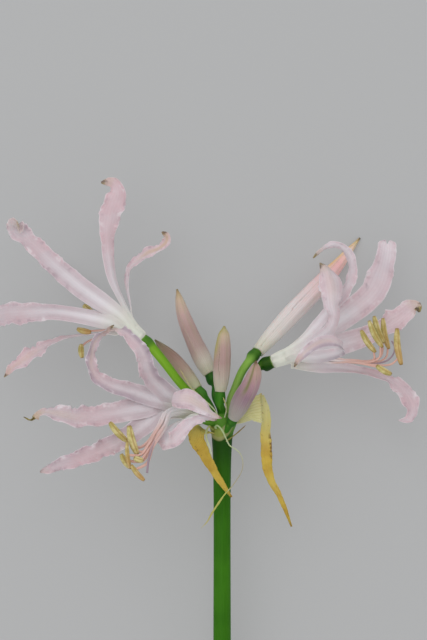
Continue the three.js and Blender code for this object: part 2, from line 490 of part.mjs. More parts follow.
// Right bloom. Its stamens sweep out to the right and turn up at their ends.
const right = {
  base: [20.6, 20.1, -0.2],
  axis: [0.92, 0.36, 0.15],
  claw: 6.5,
  flare: 0.3,
  bundle: [[31.5, 22.6, 2], [43.4, 21, 5]],
  spread: [1.15, 1.4],
  tepals: [
    { around: 340, widths: [3.4, 4.6, 6.2, 8, 9.4, 10, 10.4, 10.2, 9.2, 8.2, 7.4], calm: 0.5, frill: 0.5,
      notch: 1.6, tipRound: 0.02, lobes: [[0.75, 1, 1.2, 0.05], [0.81, 1, 1.3, 0.03]],
      facing: [[0.2, -0.5, 1], [0, 0, 1], [0, 0, 1]],
      path: [[34.1, 27.2, -3], [40.6, 31.6, -5], [47.1, 36.4, -7], [53.6, 41.2, -9], [59.6, 46, -10],
        [63.6, 51.4, -10], [65.3, 57.2, -9], [66.4, 63, -7], [67, 69, -6]] },
    { around: 40, widths: [3.3, 3.8, 4.6, 5.4, 5.8, 5.8, 5.6, 5, 4, 2.4, 1.2], frill: 0.3,
      facing: [[0.4, -0.5, -0.8], [0.7, -0.3, -0.6], [0.7, 0.3, -0.5], [0.3, 0.6, -0.7], [-0.2, 0.6, -0.8]],
      path: [[33.9, 30.4, 4], [41.8, 39.4, 5], [46.9, 45.2, 7], [50.4, 50.3, 9], [51.9, 55.8, 10.5],
        [51.3, 61.4, 11], [48.7, 65.1, 11], [45.2, 66.7, 11], [41.6, 65.7, 11], [38.6, 63.6, 11],
        [36.5, 61.4, 10.5]] },
    { around: 90, widths: [3.3, 4, 4.6, 5, 5.2, 4.8, 4.8, 6.8, 8.4, 7, 1.8], calm: 0.4, frill: 0.6,
      cup: 0.6, lobes: [[0.84, 1, 2.4, 0.08]], facing: [[0.2, 0, -1], [-0.2, 0, -1], [-0.5, 0.2, -1]],
      path: [[31.4, 24.9, 6], [38.4, 29.3, 12], [42.9, 33.4, 17], [44.6, 38.4, 20], [43.9, 43.1, 21.5],
        [43.6, 47.8, 21], [43, 52, 19], [41.5, 56.4, 17], [39.1, 59.3, 15]] },
    { around: 275, widths: [3.3, 4.4, 6, 7.6, 8.8, 8.8, 8, 7.2, 8.6, 7, 2.4], calm: 0.5, frill: 0.8,
      lobes: [[0.79, 1, 1.3, 0.025], [0.92, 1, 0.8, 0.03]], facing: [[0, 0, 1], [0, 0, 1], [0, 0.3, 1]],
      path: [[31.7, 22.8, -3], [38.2, 24.5, -5], [45.5, 26.5, -7], [52.8, 28.5, -9], [59.3, 30.8, -9.5],
        [65.7, 33.9, -9], [69.6, 36.2, -8], [73.2, 38.8, -7], [76.4, 41.4, -6], [78.7, 42.3, -5],
        [79.7, 40, -4]] },
    { around: 200, widths: [3.4, 4.6, 5.6, 5.8, 5.6, 5.6, 5.8, 6, 6.4, 7.6, 7.6, 4.4, 1.2], calm: 0.5,
      frill: 0.8, facing: [[0, 0.35, 1], [0, 0.9, 0.5], [0.05, 0.9, 0.5], [0.3, 0.35, 0.9], [0.3, 0, 1]],
      path: [[29.4, 17.9, -1], [38, 18.1, -2.6], [46, 18, -2.6], [54.4, 16.6, -2], [61.7, 15, -1],
        [66.8, 13, -0.5], [71.2, 10, 0], [74.3, 6.4, 1], [76.1, 2.5, 2], [76, -0.5, 3], [74.4, -2.8, 3.6],
        [70.8, -3.2, 4]] },
    { around: 140, widths: [3.6, 5, 6, 6, 5.2, 4, 3.8, 4.4, 4.4, 3.4, 1.2], frill: 0.3,
      facing: [[0.3, 0.5, -0.8], [1, 0.2, -0.2], [0.6, 0.2, 0.8], [0, 0.3, 1]],
      path: [[29, 21, 6], [35.2, 21.8, 12], [41.3, 22.8, 19], [47.3, 24.7, 26], [46.6, 27.1, 32],
        [43.7, 28.5, 36], [39.8, 28.7, 38.5], [35.9, 27.1, 40], [32.4, 24.4, 40.3], [29.7, 21.1, 39.5],
        [28.2, 18.6, 38]] },
  ],
  stamens: [
    { path: [[52, 20.5, 8], [58.3, 19.9, 9], [62.7, 21.7, 9.5]],
      anther: [[58.7, 36.6, 9.5], [64.1, 25.9, 9.5]], hungAt: 0.85 },
    { path: [[52.4, 20.1, 9], [60.6, 19, 10.5], [67.4, 19.3, 12]],
      anther: [[69.7, 33.6, 12], [71.4, 19, 12]], hungAt: 0.75, girth: 1.1 },
    { path: [[51.1, 20.1, 10], [57.3, 19.2, 13]],
      anther: [[61.4, 18.8, 14], [67.4, 15.3, 14]], hungAt: 0.25 },
    { path: [[52.2, 20.5, 4.5], [60.2, 19.7, 4], [65.8, 21.8, 3]],
      anther: [[64.6, 37.6, 3], [67, 25.2, 3]], hungAt: 0.85 },
    { path: [[52.1, 20.9, 6], [58.9, 20.5, 6], [63.7, 22.5, 6]],
      anther: [[60.9, 38.4, 6], [64.9, 27.6, 6]], hungAt: 0.85 },
    { path: [[52.1, 20.3, 6.5], [57.6, 19.9, 7.5], [60.8, 21.1, 8]],
      anther: [[55.6, 32.8, 8], [61.4, 23.9, 8]], hungAt: 0.85 },
  ],
  style: [[52.1, 19.7, 6], [60.8, 19.4, 7], [66, 20.6, 7], [68.6, 23.4, 7], [69, 26.4, 7], [67.8, 28.5, 7]],
};

const blooms = { upper_left: upperLeft, lower_left: lowerLeft, right };

const buds = {
  tall: { path: [[-4.5, 15.3, -7.6], [-10.7, 27.8, -10], [-15.2, 38.9, -12.4], [-17.8, 49.3, -14.6]],
    radius: 3.65, profile: [0.76, 0.96, 1, 0.94, 0.88, 0.84, 0.77, 0.64, 0.42, 0.14] },
  middle: { path: [[-0.2, 8.3, 3], [0.4, 20.5, 4], [1.3, 34.4, 5]], radius: 3.4,
    profile: [0.66, 0.84, 0.94, 1, 1, 0.98, 0.91, 0.79, 0.6, 0.16] },
  leaning: { path: [[-9.4, 9.2, -2.4], [-17.8, 19, -6], [-26.6, 28.8, -11]], radius: 3.3 },
  front: { path: [[4.9, -2.3, 6.7], [8.7, 5.8, 11.2], [11.7, 11, 15], [13.3, 16, 18.8], [13.7, 20.6, 22.4]],
    radius: 3.85, profile: [0.6, 0.84, 0.97, 1, 0.98, 0.93, 0.85, 0.72, 0.48, 0.16] },
};

// The bloom about to open: its tip reaches down to the table.
const openingBud = {
  path: [[14.7, 24.1, -4.3], [27.5, 38, -14], [37.9, 48.6, -21.5], [47.9, 59.3, -28.6], [53, 65.5, -31.8],
    [57.2, 70.5, -34]],
  radius: 3.9,
};

// Pedicels, by the head each one carries.
const pedicels = {
  upper_left: { path: [root(165), [-5.4, 1.6, 2], [-11.2, 6.4, 3], [-16.2, 11.6, 3.4], [-23, 20.4, 3.8]],
    thin: 1.5, thick: 2 },
  lower_left: { path: [[0, -3.8, 2], [-3.8, -4.2, 4.2]], ovaryLength: 4 },
  right: { path: [root(12), [7.4, 6.6, 0.4], [12.4, 14.4, -0.4]], ovary: 2.9 },
  opening: { path: [root(320), [3.6, 4, -2.2], [5.6, 9.4, -2.7], [8.4, 16, -3]], thin: 1.5, thick: 1.8 },
  tall: { path: [root(265), [-0.3, 1, -4.6], [-2.3, 6, -5.9]] },
  middle: { path: [[scapeAxisX, pedicelRootY, 0], [0.4, 0.6, 0.6]], thin: 1.5, thick: 1.7, ovary: 2.2 },
  leaning: { path: [root(214), [-3.6, 0.8, -2.1]], ovaryLength: 4, ovary: 2.2 },
  front: { path: [[1.8, -7.4, 3], [3.1, -5.4, 4.8]], ovaryLength: 2.4, ovary: 2.1 },
};

// Withered spathe valves: the left one is opaque and golden, the right one thin and pale at its root,
// where it stands up like a fan before it folds down.
const leftSpathe = {
  path: [[-3.2, -8.4, 2.4], [-6.4, -7.2, 4.2], [-9.4, -6.6, 5.6], [-10, -9.4, 6.8], [-7.8, -14.2, 7.4],
    [-4.7, -20, 7.5], [-0.6, -26.8, 7.6], [4.2, -33.6, 7.6]],
  facing: [[0, 1, 0.1], [-0.2, 0.8, 0.6], [0, 0.2, 1], [0, 0, 1], [0, 0, 1], [0.1, 0, 1]],
  widths: [3, 6.4, 6.4, 4.9, 3.9, 3, 2.2, 0.9],
  stations: 16,
  cup: -0.12,
  crinkle: 0.3,
};
const rightSpatheFan = {
  path: [[3.8, -5, 2.6], [7, -3, 3.6], [10.7, 0.1, 4.4], [14.2, 1.3, 5], [17, 1.7, 5]],
  facing: [[-0.2, 0.4, 1], [0, 0.1, 1]],
  widths: [1.4, 3.4, 7, 10, 11.6],
  stations: 9,
  cup: -0.05,
  crinkle: 0.2,
};
const rightSpatheTail = {
  path: [[16.4, 6.9, 5], [17.4, 2.9, 5.2], [18, -1.4, 5.4], [17.7, -7.8, 5.6], [18.1, -14.6, 5.6],
    [18.3, -20.5, 5.4], [19.7, -26.5, 5.2], [22.9, -32.5, 5], [25.9, -39.5, 4.4], [28.1, -45.6, 3.6]],
  facing: [[0, 0, 1]],
  widths: [1.4, 3.4, 3.9, 4.4, 4.2, 3, 2.2, 1.6, 0.8],
  stations: 16,
  cup: -0.2,
  crinkle: 0.3,
};

const bracteoles = {
  long: [[-1.8, -6.4, 4], [-2.3, -6, 5.8], [-1.6, -5.1, 7.4], [0.2, -6.7, 8.4], [2, -10.3, 8.6],
    [3.4, -13, 8.6], [5.9, -14.6, 8.8], [7.9, -16.8, 9], [8.7, -20.4, 9], [8.1, -23.5, 9],
    [6.3, -26.5, 9.2], [4.1, -29.5, 9.6], [1.6, -32.2, 9.6], [-1.2, -36.2, 9], [-3.6, -39.9, 8.4],
    [-5.6, -43.5, 8], [-8, -46.1, 7.4]],
  short: [[-3, -7, 3.8], [-4, -6.2, 6.2], [-4.6, -5.3, 8], [-5.8, -7.3, 8.4], [-5.8, -10.1, 8.8],
    [-4.6, -13.6, 8.9], [-3.6, -17.2, 8.6]],
  brown: [[2, -11.6, 3.4], [3.6, -10.4, 5], [6.4, -8.2, 6], [9.9, -5, 6.6]],
  curled: [[-0.8, -2.4, 4.4], [-2.6, 1, 5.4], [-6, 4.4, 5.8], [-9.6, 7.7, 5.8], [-11.8, 9.7, 5.7],
    [-13.4, 12.1, 5.6], [-15.1, 15.1, 5.6], [-16.7, 17.7, 5.6]],
  upright: [[1.4, -2.2, 4.4], [2.1, 0.6, 5.3], [1.9, 3, 5.8], [0.8, 6.1, 6.4]],
};

function finished(name, solid, color, roughness = 0.5) {
  const material = new THREE.MeshStandardMaterial({ color, roughness, metalness: 0 });
  const mesh = new THREE.Mesh(geometryOf(solid), material);
  mesh.name = name;
  return mesh;
}

// The half-space under the table, which presses a small flat on whatever rests on it.
function underTable() {
  const slab = new THREE.BoxGeometry(600, 900, 40);
  slab.translate(0, 0, floorLevel - 20);
  slab.rotateX(radians(-layDownAngle));
  return solidOf(slab);
}

const flower = new THREE.Group();
const table = underTable();
const seatSpace = scape(gap); // the scape with the clear distance round it
flower.add(finished("scape", scape(0).subtract(table), scapeColour));

const heads = { ...blooms, ...buds, opening: openingBud };
for (const [name, shape] of Object.entries(pedicels)) {
  const solid = pedicel(shape, heads[name]).subtract(seatSpace);
  flower.add(finished("pedicel_" + name, solid, pedicelColour));
}

for (const [name, bloom] of Object.entries(blooms)) {
  flower.add(finished("tepals_" + name, perianth(bloom).subtract(table), tepalColour));
  flower.add(finished("stamens_" + name, stamens(bloom), filamentColour));
}

for (const [name, shape] of Object.entries(buds)) {
  flower.add(finished("bud_" + name, bud(shape), budColour));
}
flower.add(finished("bud_opening", bud(openingBud).subtract(table), openingBudColour));

const spathes = {
  left: [strip(leftSpathe), goldenSpatheColour],
  right: [strip(rightSpatheFan).add(strip(rightSpatheTail)), paleSpatheColour],
};
for (const [name, [solid, colour]] of Object.entries(spathes)) {
  flower.add(finished("spathe_" + name, solid.subtract(seatSpace), colour, 0.7));
}
for (const [name, path] of Object.entries(bracteoles)) {
  flower.add(finished("bracteole_" + name, thread(path).subtract(seatSpace), bracteoleColour, 0.7));
}

// Laid down on its back, with the middle of its box over the origin and the table at Z = 0.
flower.rotation.x = radians(layDownAngle);
const nerine = new THREE.Group();
nerine.add(flower);
nerine.updateMatrixWorld(true);
const box = new THREE.Box3().setFromObject(nerine, true);
flower.position.set(-(box.min.x + box.max.x) / 2, -(box.min.y + box.max.y) / 2, -box.min.z);

export default nerine;
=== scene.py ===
import math

import bpy
import numpy as np
from mathutils import Matrix, Vector


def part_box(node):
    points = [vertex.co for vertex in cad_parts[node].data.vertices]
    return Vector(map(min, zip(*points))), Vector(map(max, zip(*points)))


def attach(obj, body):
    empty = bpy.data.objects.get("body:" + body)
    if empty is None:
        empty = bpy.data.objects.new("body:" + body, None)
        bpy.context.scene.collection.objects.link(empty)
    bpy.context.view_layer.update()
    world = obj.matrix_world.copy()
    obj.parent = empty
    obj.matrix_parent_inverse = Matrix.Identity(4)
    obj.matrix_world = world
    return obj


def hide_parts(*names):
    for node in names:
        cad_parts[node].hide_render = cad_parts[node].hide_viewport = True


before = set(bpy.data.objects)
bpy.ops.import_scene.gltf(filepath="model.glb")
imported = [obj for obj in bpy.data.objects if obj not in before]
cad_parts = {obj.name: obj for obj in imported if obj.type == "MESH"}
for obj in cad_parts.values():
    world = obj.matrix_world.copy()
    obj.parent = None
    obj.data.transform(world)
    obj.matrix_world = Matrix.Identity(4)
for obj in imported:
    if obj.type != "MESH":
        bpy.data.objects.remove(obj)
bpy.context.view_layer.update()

# The flower is drawn upright in millimetres, X right, Y up the stem, Z to the viewer, and is then
# laid on its back on the table.
layDown = {
    "angle": 4.8,           # degrees, the slope of the stem as it lies
    "tableLevel": -28.45,   # the table, square to itself, from the head of the stem
    "stemAxis": 0.44,
    "stemCut": -300,
    "cutRadius": 3.6,
}
tilt = math.radians(layDown["angle"])
stemLow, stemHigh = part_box("scape")
layOffset = np.array([
    500 * (stemLow.x + stemHigh.x) - layDown["stemAxis"],
    1000 * stemLow.y - layDown["stemCut"] * math.cos(tilt) + layDown["cutRadius"] * math.sin(tilt),
    -layDown["tableLevel"],
])
layTurn = np.array([
    [1, 0, 0],
    [0, math.cos(tilt), -math.sin(tilt)],
    [0, math.sin(tilt), math.cos(tilt)],
])
tableNormal = layTurn[2]


def laid(points):
    return (np.asarray(points, float) @ layTurn.T + layOffset) / 1000


def overTable(points, clearance):
    # lifts what would sink into the table
    height = points @ tableNormal - layDown["tableLevel"]
    return points + np.maximum(clearance - height, 0)[..., None] * tableNormal


# Small helpers for shapes

def unit(v):
    v = np.asarray(v, float)
    return v / np.linalg.norm(v, axis=-1, keepdims=True)


def step(x, low, high):
    u = np.clip((np.asarray(x, float) - low) / (high - low), 0, 1)
    return u * u * (3 - 2 * u)


def mix(a, b, t):
    return a + (b - a) * t


def angles(sides):
    return np.arange(sides) / sides * 2 * math.pi


def shares(count):
    # from 0 to 1 down a column
    return np.linspace(0, 1, count)[:, None]


stepsPerSpan = 40


def through(points):
    # a dense smooth line through points of any dimension, evener the closer they stand
    p = np.array(points, float)
    p = np.vstack([2 * p[0] - p[1], p, 2 * p[-1] - p[-2]])
    t = np.linspace(0, 1, stepsPerSpan, endpoint=False)[:, None]
    line = []
    for a, b, c, d in zip(p, p[1:], p[2:], p[3:]):
        ab, bc, cd = [max(np.linalg.norm(v) ** 0.5, 1e-3) for v in (b - a, c - b, d - c)]
        m = ((b - a) / ab - (c - a) / (ab + bc) + (c - b) / bc) * bc
        n = ((c - b) / bc - (d - b) / (bc + cd) + (d - c) / cd) * bc
        line.append(b + m * t + (3 * (c - b) - 2 * m - n) * t ** 2 + (2 * (b - c) + m + n) * t ** 3)
    return np.vstack(line + [p[-2:-1]])


def distances(line):
    return np.concatenate([[0], np.cumsum(np.linalg.norm(np.diff(line, axis=0), axis=1))])


def evenRun(points, count):
    # places and directions at even steps along the line, and its length
    line = through(points)
    travelled = distances(line)
    at = np.linspace(0, travelled[-1], count)
    places = np.stack([np.interp(at, travelled, line[:, k]) for k in range(3)], 1)
    return places, unit(np.gradient(places, axis=0)), travelled[-1]


def levels(values, t):
    # a smooth value along a short list
    t = np.asarray(t, float) * (len(values) - 1)
    v = np.concatenate([[values[0]], values, [values[-1]]]).astype(float)
    i = np.minimum(t.astype(int), len(values) - 2)
    u = t - i
    a, b, c, d = v[i], v[i + 1], v[i + 2], v[i + 3]
    return b + 0.5 * u * (c - a + u * (2 * a - 5 * b + 4 * c - d + u * (3 * (b - c) + d - a)))


def turning(directions, t):
    looks = unit(directions)
    if len(looks) == 1:
        return np.repeat(looks, len(t), 0)
    at = np.clip(t, 0, 1) * (len(looks) - 1)
    i = np.minimum(at.astype(int), len(looks) - 2)
    return unit(mix(looks[i], looks[i + 1], (at - i)[:, None]))


def squareTo(tangents, looks):
    return unit(looks - tangents * np.sum(looks * tangents, 1, keepdims=True))


def leastTurn(places, tangents, first):
    normals = [squareTo(tangents[:1], np.array([first], float))[0]]
    for i in range(1, len(places)):
        move = places[i] - places[i - 1]
        turned = normals[-1] - 2 * move * (move @ normals[-1]) / (move @ move)
        ahead = tangents[i - 1] - 2 * move * (move @ tangents[i - 1]) / (move @ move)
        change = tangents[i] - ahead
        if change @ change > 1e-12:
            turned = turned - 2 * change * (change @ turned) / (change @ change)
        normals.append(unit(turned - tangents[i] * (tangents[i] @ turned)))
    return np.array(normals)


# A course is places, normals and tangents.

def winding(path, count, facing):
    # a course along a path, the share of the way at each place, and the length
    places, tangents, length = evenRun(path, count)
    return (places, leastTurn(places, tangents, facing), tangents), shares(count), length


def straight(start, axis, heights, facing):
    places = np.array(start, float) + np.array(axis, float) * np.reshape(heights, (-1, 1))
    return places, np.repeat([facing], len(places), 0), np.repeat([axis], len(places), 0)


def blade(course, aside, height, back=0):
    # the middle of a blade, each point moved aside from its course, up and back
    places, normals, tangents = [v[:, None] for v in course]
    return (places + np.cross(normals, tangents) * aside[..., None] + normals * height[..., None]
            - tangents * back)


# A part is points, faces and named values at each point. A piece is welded from several parts.

def quads(grid):
    # a face for each four neighbours in a grid of point numbers
    g = np.asarray(grid)
    return np.stack([g[:-1, :-1], g[1:, :-1], g[1:, 1:], g[:-1, 1:]], -1).reshape(-1, 4).tolist()


def spread(values, shape, sides=1):
    return {name: np.tile(np.broadcast_to(v, shape).reshape(-1), sides) for name, v in values.items()}


def sheetPart(middle, thickness, **values):
    shape = middle.shape[:2]
    normal = unit(np.cross(np.gradient(middle, axis=0), np.gradient(middle, axis=1)))
    half = normal * thickness[..., None] / 2
    points = np.concatenate([(middle + half).reshape(-1, 3), (middle - half).reshape(-1, 3)])
    top, under = np.arange(len(points)).reshape(2, *shape)
    faces = (quads(top) + quads(under.T) + quads([top[:, 0], under[:, 0]]) + quads([top[-1], under[-1]])
             + quads(np.transpose([top[:, -1], under[:, -1]])) + quads(np.transpose([top[0], under[0]])))
    return {"points": points, "faces": faces, "values": spread(values, shape, 2), "skins": [0] * len(faces)}


def tubePart(course, radius, skin=0, endSkin=None, **values):
    places, normals, tangents = course
    angle = angles(radius.shape[1])
    aside = np.cross(normals, tangents)
    points = (places[:, None] + normals[:, None] * (radius * np.cos(angle))[..., None]
              - aside[:, None] * (radius * np.sin(angle))[..., None])
    rings = np.arange(radius.size).reshape(radius.shape)
    faces = quads(np.vstack([rings.T, rings[:, 0]]))
    skins = [skin] * len(faces) + [skin if endSkin is None else endSkin, skin]
    faces += [rings[0, ::-1].tolist(), rings[-1].tolist()]
    return {"points": points.reshape(-1, 3), "faces": faces, "values": spread(values, radius.shape),
            "skins": skins}


def newObject(name, data):
    thing = bpy.data.objects.new(name, data)
    bpy.context.scene.collection.objects.link(thing)
    return thing


def makePiece(name, parts, skins, node):
    mesh = bpy.data.meshes.new(name)
    firsts = np.cumsum([0] + [len(part["points"]) for part in parts]).tolist()
    faces = [[first + i for i in face] for first, part in zip(firsts, parts) for face in part["faces"]]
    points = np.concatenate([overTable(part["points"], 0) for part in parts])
    mesh.from_pydata(laid(points).tolist(), [], faces)
    for key in sorted({key for part in parts for key in part["values"]}):
        values = [part["values"].get(key, np.zeros(len(part["points"]))) for part in parts]
        mesh.attributes.new(key, "FLOAT", "POINT").data.foreach_set("value", np.concatenate(values))
    for skin in skins:
        mesh.materials.append(skin)
    mesh.polygons.foreach_set("material_index", [i for part in parts for i in part["skins"]])
    mesh.polygons.foreach_set("use_smooth", [True] * len(faces))
    mesh.update()
    piece = newObject(name, mesh)
    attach(piece, "root")
    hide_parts(node)


# Materials. A Wire is a socket that takes part in plain sums; a Skin is one material.

class Wire:
    def __init__(self, skin, socket):
        self.skin = skin
        self.socket = socket

    def sum(self, operation, *terms):
        return self.skin.add("ShaderNodeMath", {"operation": operation}, dict(enumerate(terms)))

    def __add__(self, other):
        return self.sum("ADD", self, other)

    def __sub__(self, other):
        return self.sum("SUBTRACT", self, other)

    def __rsub__(self, other):
        return self.sum("SUBTRACT", other, self)

    def __mul__(self, other):
        return self.sum("MULTIPLY", self, other)

    def __pow__(self, other):
        return self.sum("POWER", self, other)

    def __abs__(self):
        return self.sum("ABSOLUTE", self)

    def sine(self):
        return self.sum("SINE", self)

    def rise(self, low, high):
        return self.skin.add("ShaderNodeMapRange", {"interpolation_type": "SMOOTHSTEP"}, {
            "Value": self, "From Min": low, "From Max": high})

    def fall(self, low, high):
        return 1 - self.rise(low, high)

    __radd__ = __add__
    __rmul__ = __mul__


class Skin:
    def __init__(self, name):
        self.material = bpy.data.materials.new(name)
        self.material.use_nodes = True
        self.tree = self.material.node_tree
        self.tree.nodes.clear()

    def add(self, kind, settings=None, sockets=None, output=0):
        node = self.tree.nodes.new(kind)
        for key, value in (settings or {}).items():
            if key == "stops":
                while len(node.color_ramp.elements) < len(value):
                    node.color_ramp.elements.new(1)
                for element, (place, shade) in zip(node.color_ramp.elements, value):
                    element.position = place
                    element.color = shade
            else:
                setattr(node, key, value)
        for key, value in (sockets or {}).items():
            if isinstance(value, Wire):
                self.tree.links.new(value.socket, node.inputs[key])
            else:
                node.inputs[key].default_value = value
        return None if output is None else Wire(self, node.outputs[output])

    def value(self, name):
        return self.add("ShaderNodeAttribute", {"attribute_name": name}, output="Fac")

    def values(self, names):
        return [self.value(name) for name in names.split()]

    def place(self):
        return self.add("ShaderNodeTexCoord", output="Object")

    def noise(self, size, detail=3, vector=None):
        # size is the width of a blotch in millimetres
        return self.add("ShaderNodeTexNoise", None, {
            "Vector": vector or self.place(), "Scale": 1000 / size, "Detail": detail})

    def grid(self, x, y, z=0.0):
        return self.add("ShaderNodeCombineXYZ", None, {"X": x, "Y": y, "Z": z})

    def ramp(self, wire, stops):
        return self.add("ShaderNodeValToRGB", {"stops": [(at, tint(shade)) for at, shade in stops]},
                        {"Fac": wire}, "Color")

    def blend(self, share, a, b):
        a, b = [tint(c) if isinstance(c, str) else c for c in (a, b)]
        return self.add("ShaderNodeMix", {"data_type": "RGBA"}, {0: share, 6: a, 7: b}, 2)

    def coat(self, share, shade):
        # another colour over the material's own
        self.colour = self.blend(share, self.colour, shade)

    def bump(self, height, depth, over=None):
        # depth in millimetres
        sockets = {"Height": height, "Strength": 1.0, "Distance": depth / 1000}
        if over is not None:
            sockets["Normal"] = over
        return self.add("ShaderNodeBump", None, sockets)

    def finish(self, roughness, normal, subsurface=0.0, radius=(1, 0.5, 0.4), depth=1.0, specular=0.4,
               sheen=0.0, glow=None):
        sockets = {
            "Base Color": self.colour, "Roughness": roughness, "Normal": normal,
            "Subsurface Weight": subsurface, "Subsurface Radius": radius, "Subsurface Scale": depth / 1000,
            "Specular IOR Level": specular, "Sheen Weight": sheen, "Sheen Roughness": 0.5}
        if glow is not None:
            sockets.update({"Emission Color": glow, "Emission Strength": 1.0})
        shader = self.add("ShaderNodeBsdfPrincipled", None, sockets)
        self.add("ShaderNodeOutputMaterial", None, {"Surface": shader}, None)
        return self.material


def tint(code):
    # a screen colour such as "#e6d3da" as the linear colour that shaders use
    shades = [int(code[i:i + 2], 16) / 255 for i in (1, 3, 5)]
    return tuple(c / 12.92 if c < 0.04045 else ((c + 0.055) / 1.055) ** 2.4 for c in shades) + (1.0,)


# Open blooms

tepalMake = {
    "stations": 104, "across": 21, "thickness": 0.46, "edgeThickness": 0.16, "thinning": 0.75,
    "throatRadius": 2.7, "startHeight": 0.5, "startInset": 0.2, "footHeight": 1.6, "footSides": 36,
    "clawCurve": 3.6, "clawEnd": (0.06, 0.34), "facingFrom": 0.3, "ribDepth": 0.24, "ribWidth": 0.7,
    "notchWidth": 0.4, "edgeWave": 0.09, "edgeRuffle": 0.06,
    "frillLength": 8.6, "frillHeight": 1.3, "ruffleHeight": 0.65, "frillRise": 0.28, "frillStop": 0.93,
    "otherSide": 2.2,       # how far the frills of the second edge are out of step
    "tipLevel": 0.12,       # the square of the width that is left at a tip
}
usualTepal = {
    "calm": 0.22,           # the share of the length where the frills begin
    "frill": 1, "cup": 0.16, "notch": 0,
    "tipRound": 0.04,       # the last share of the length, over which a tip rounds off
    "lobes": [],            # each has a place, a side, a rise and a reach
}
usualLook = {"tone": 0.3, "white": 0.25, "blush": 0, "gold": 0, "dry": 0.7, "dusk": 0}
stamenMake = {
    "filamentRadius": 0.52, "filamentRing": 1, "stations": 44, "sides": 10, "gap": 0.3,
    "styleFoot": 1.45, "styleFootHeight": 1.4, "styleFootSides": 16,
    "antherRadius": 1.5, "antherEnd": 0.24, "antherFlatness": 0.22, "antherBow": 0.05, "antherStations": 26,
    "antherSides": 20, "slitWidth": 0.3, "slitDepth": 0.2, "grainHeight": 0.02,
}


def tepal(around, widths, facing, path, **own):
    # the angle round the bloom, widths and facings at even steps from claw to tip, and the path
    return {**usualTepal, **usualLook, "around": around, "widths": widths, "facing": facing, "path": path,
            **own}


def stamen(path, low, high, hungAt=0.5, girth=1, tone=0.2):
    # the path to the anther, the anther's two ends and the share of it where it hangs
    return path, np.array(low, float), np.array(high, float), hungAt, girth, tone


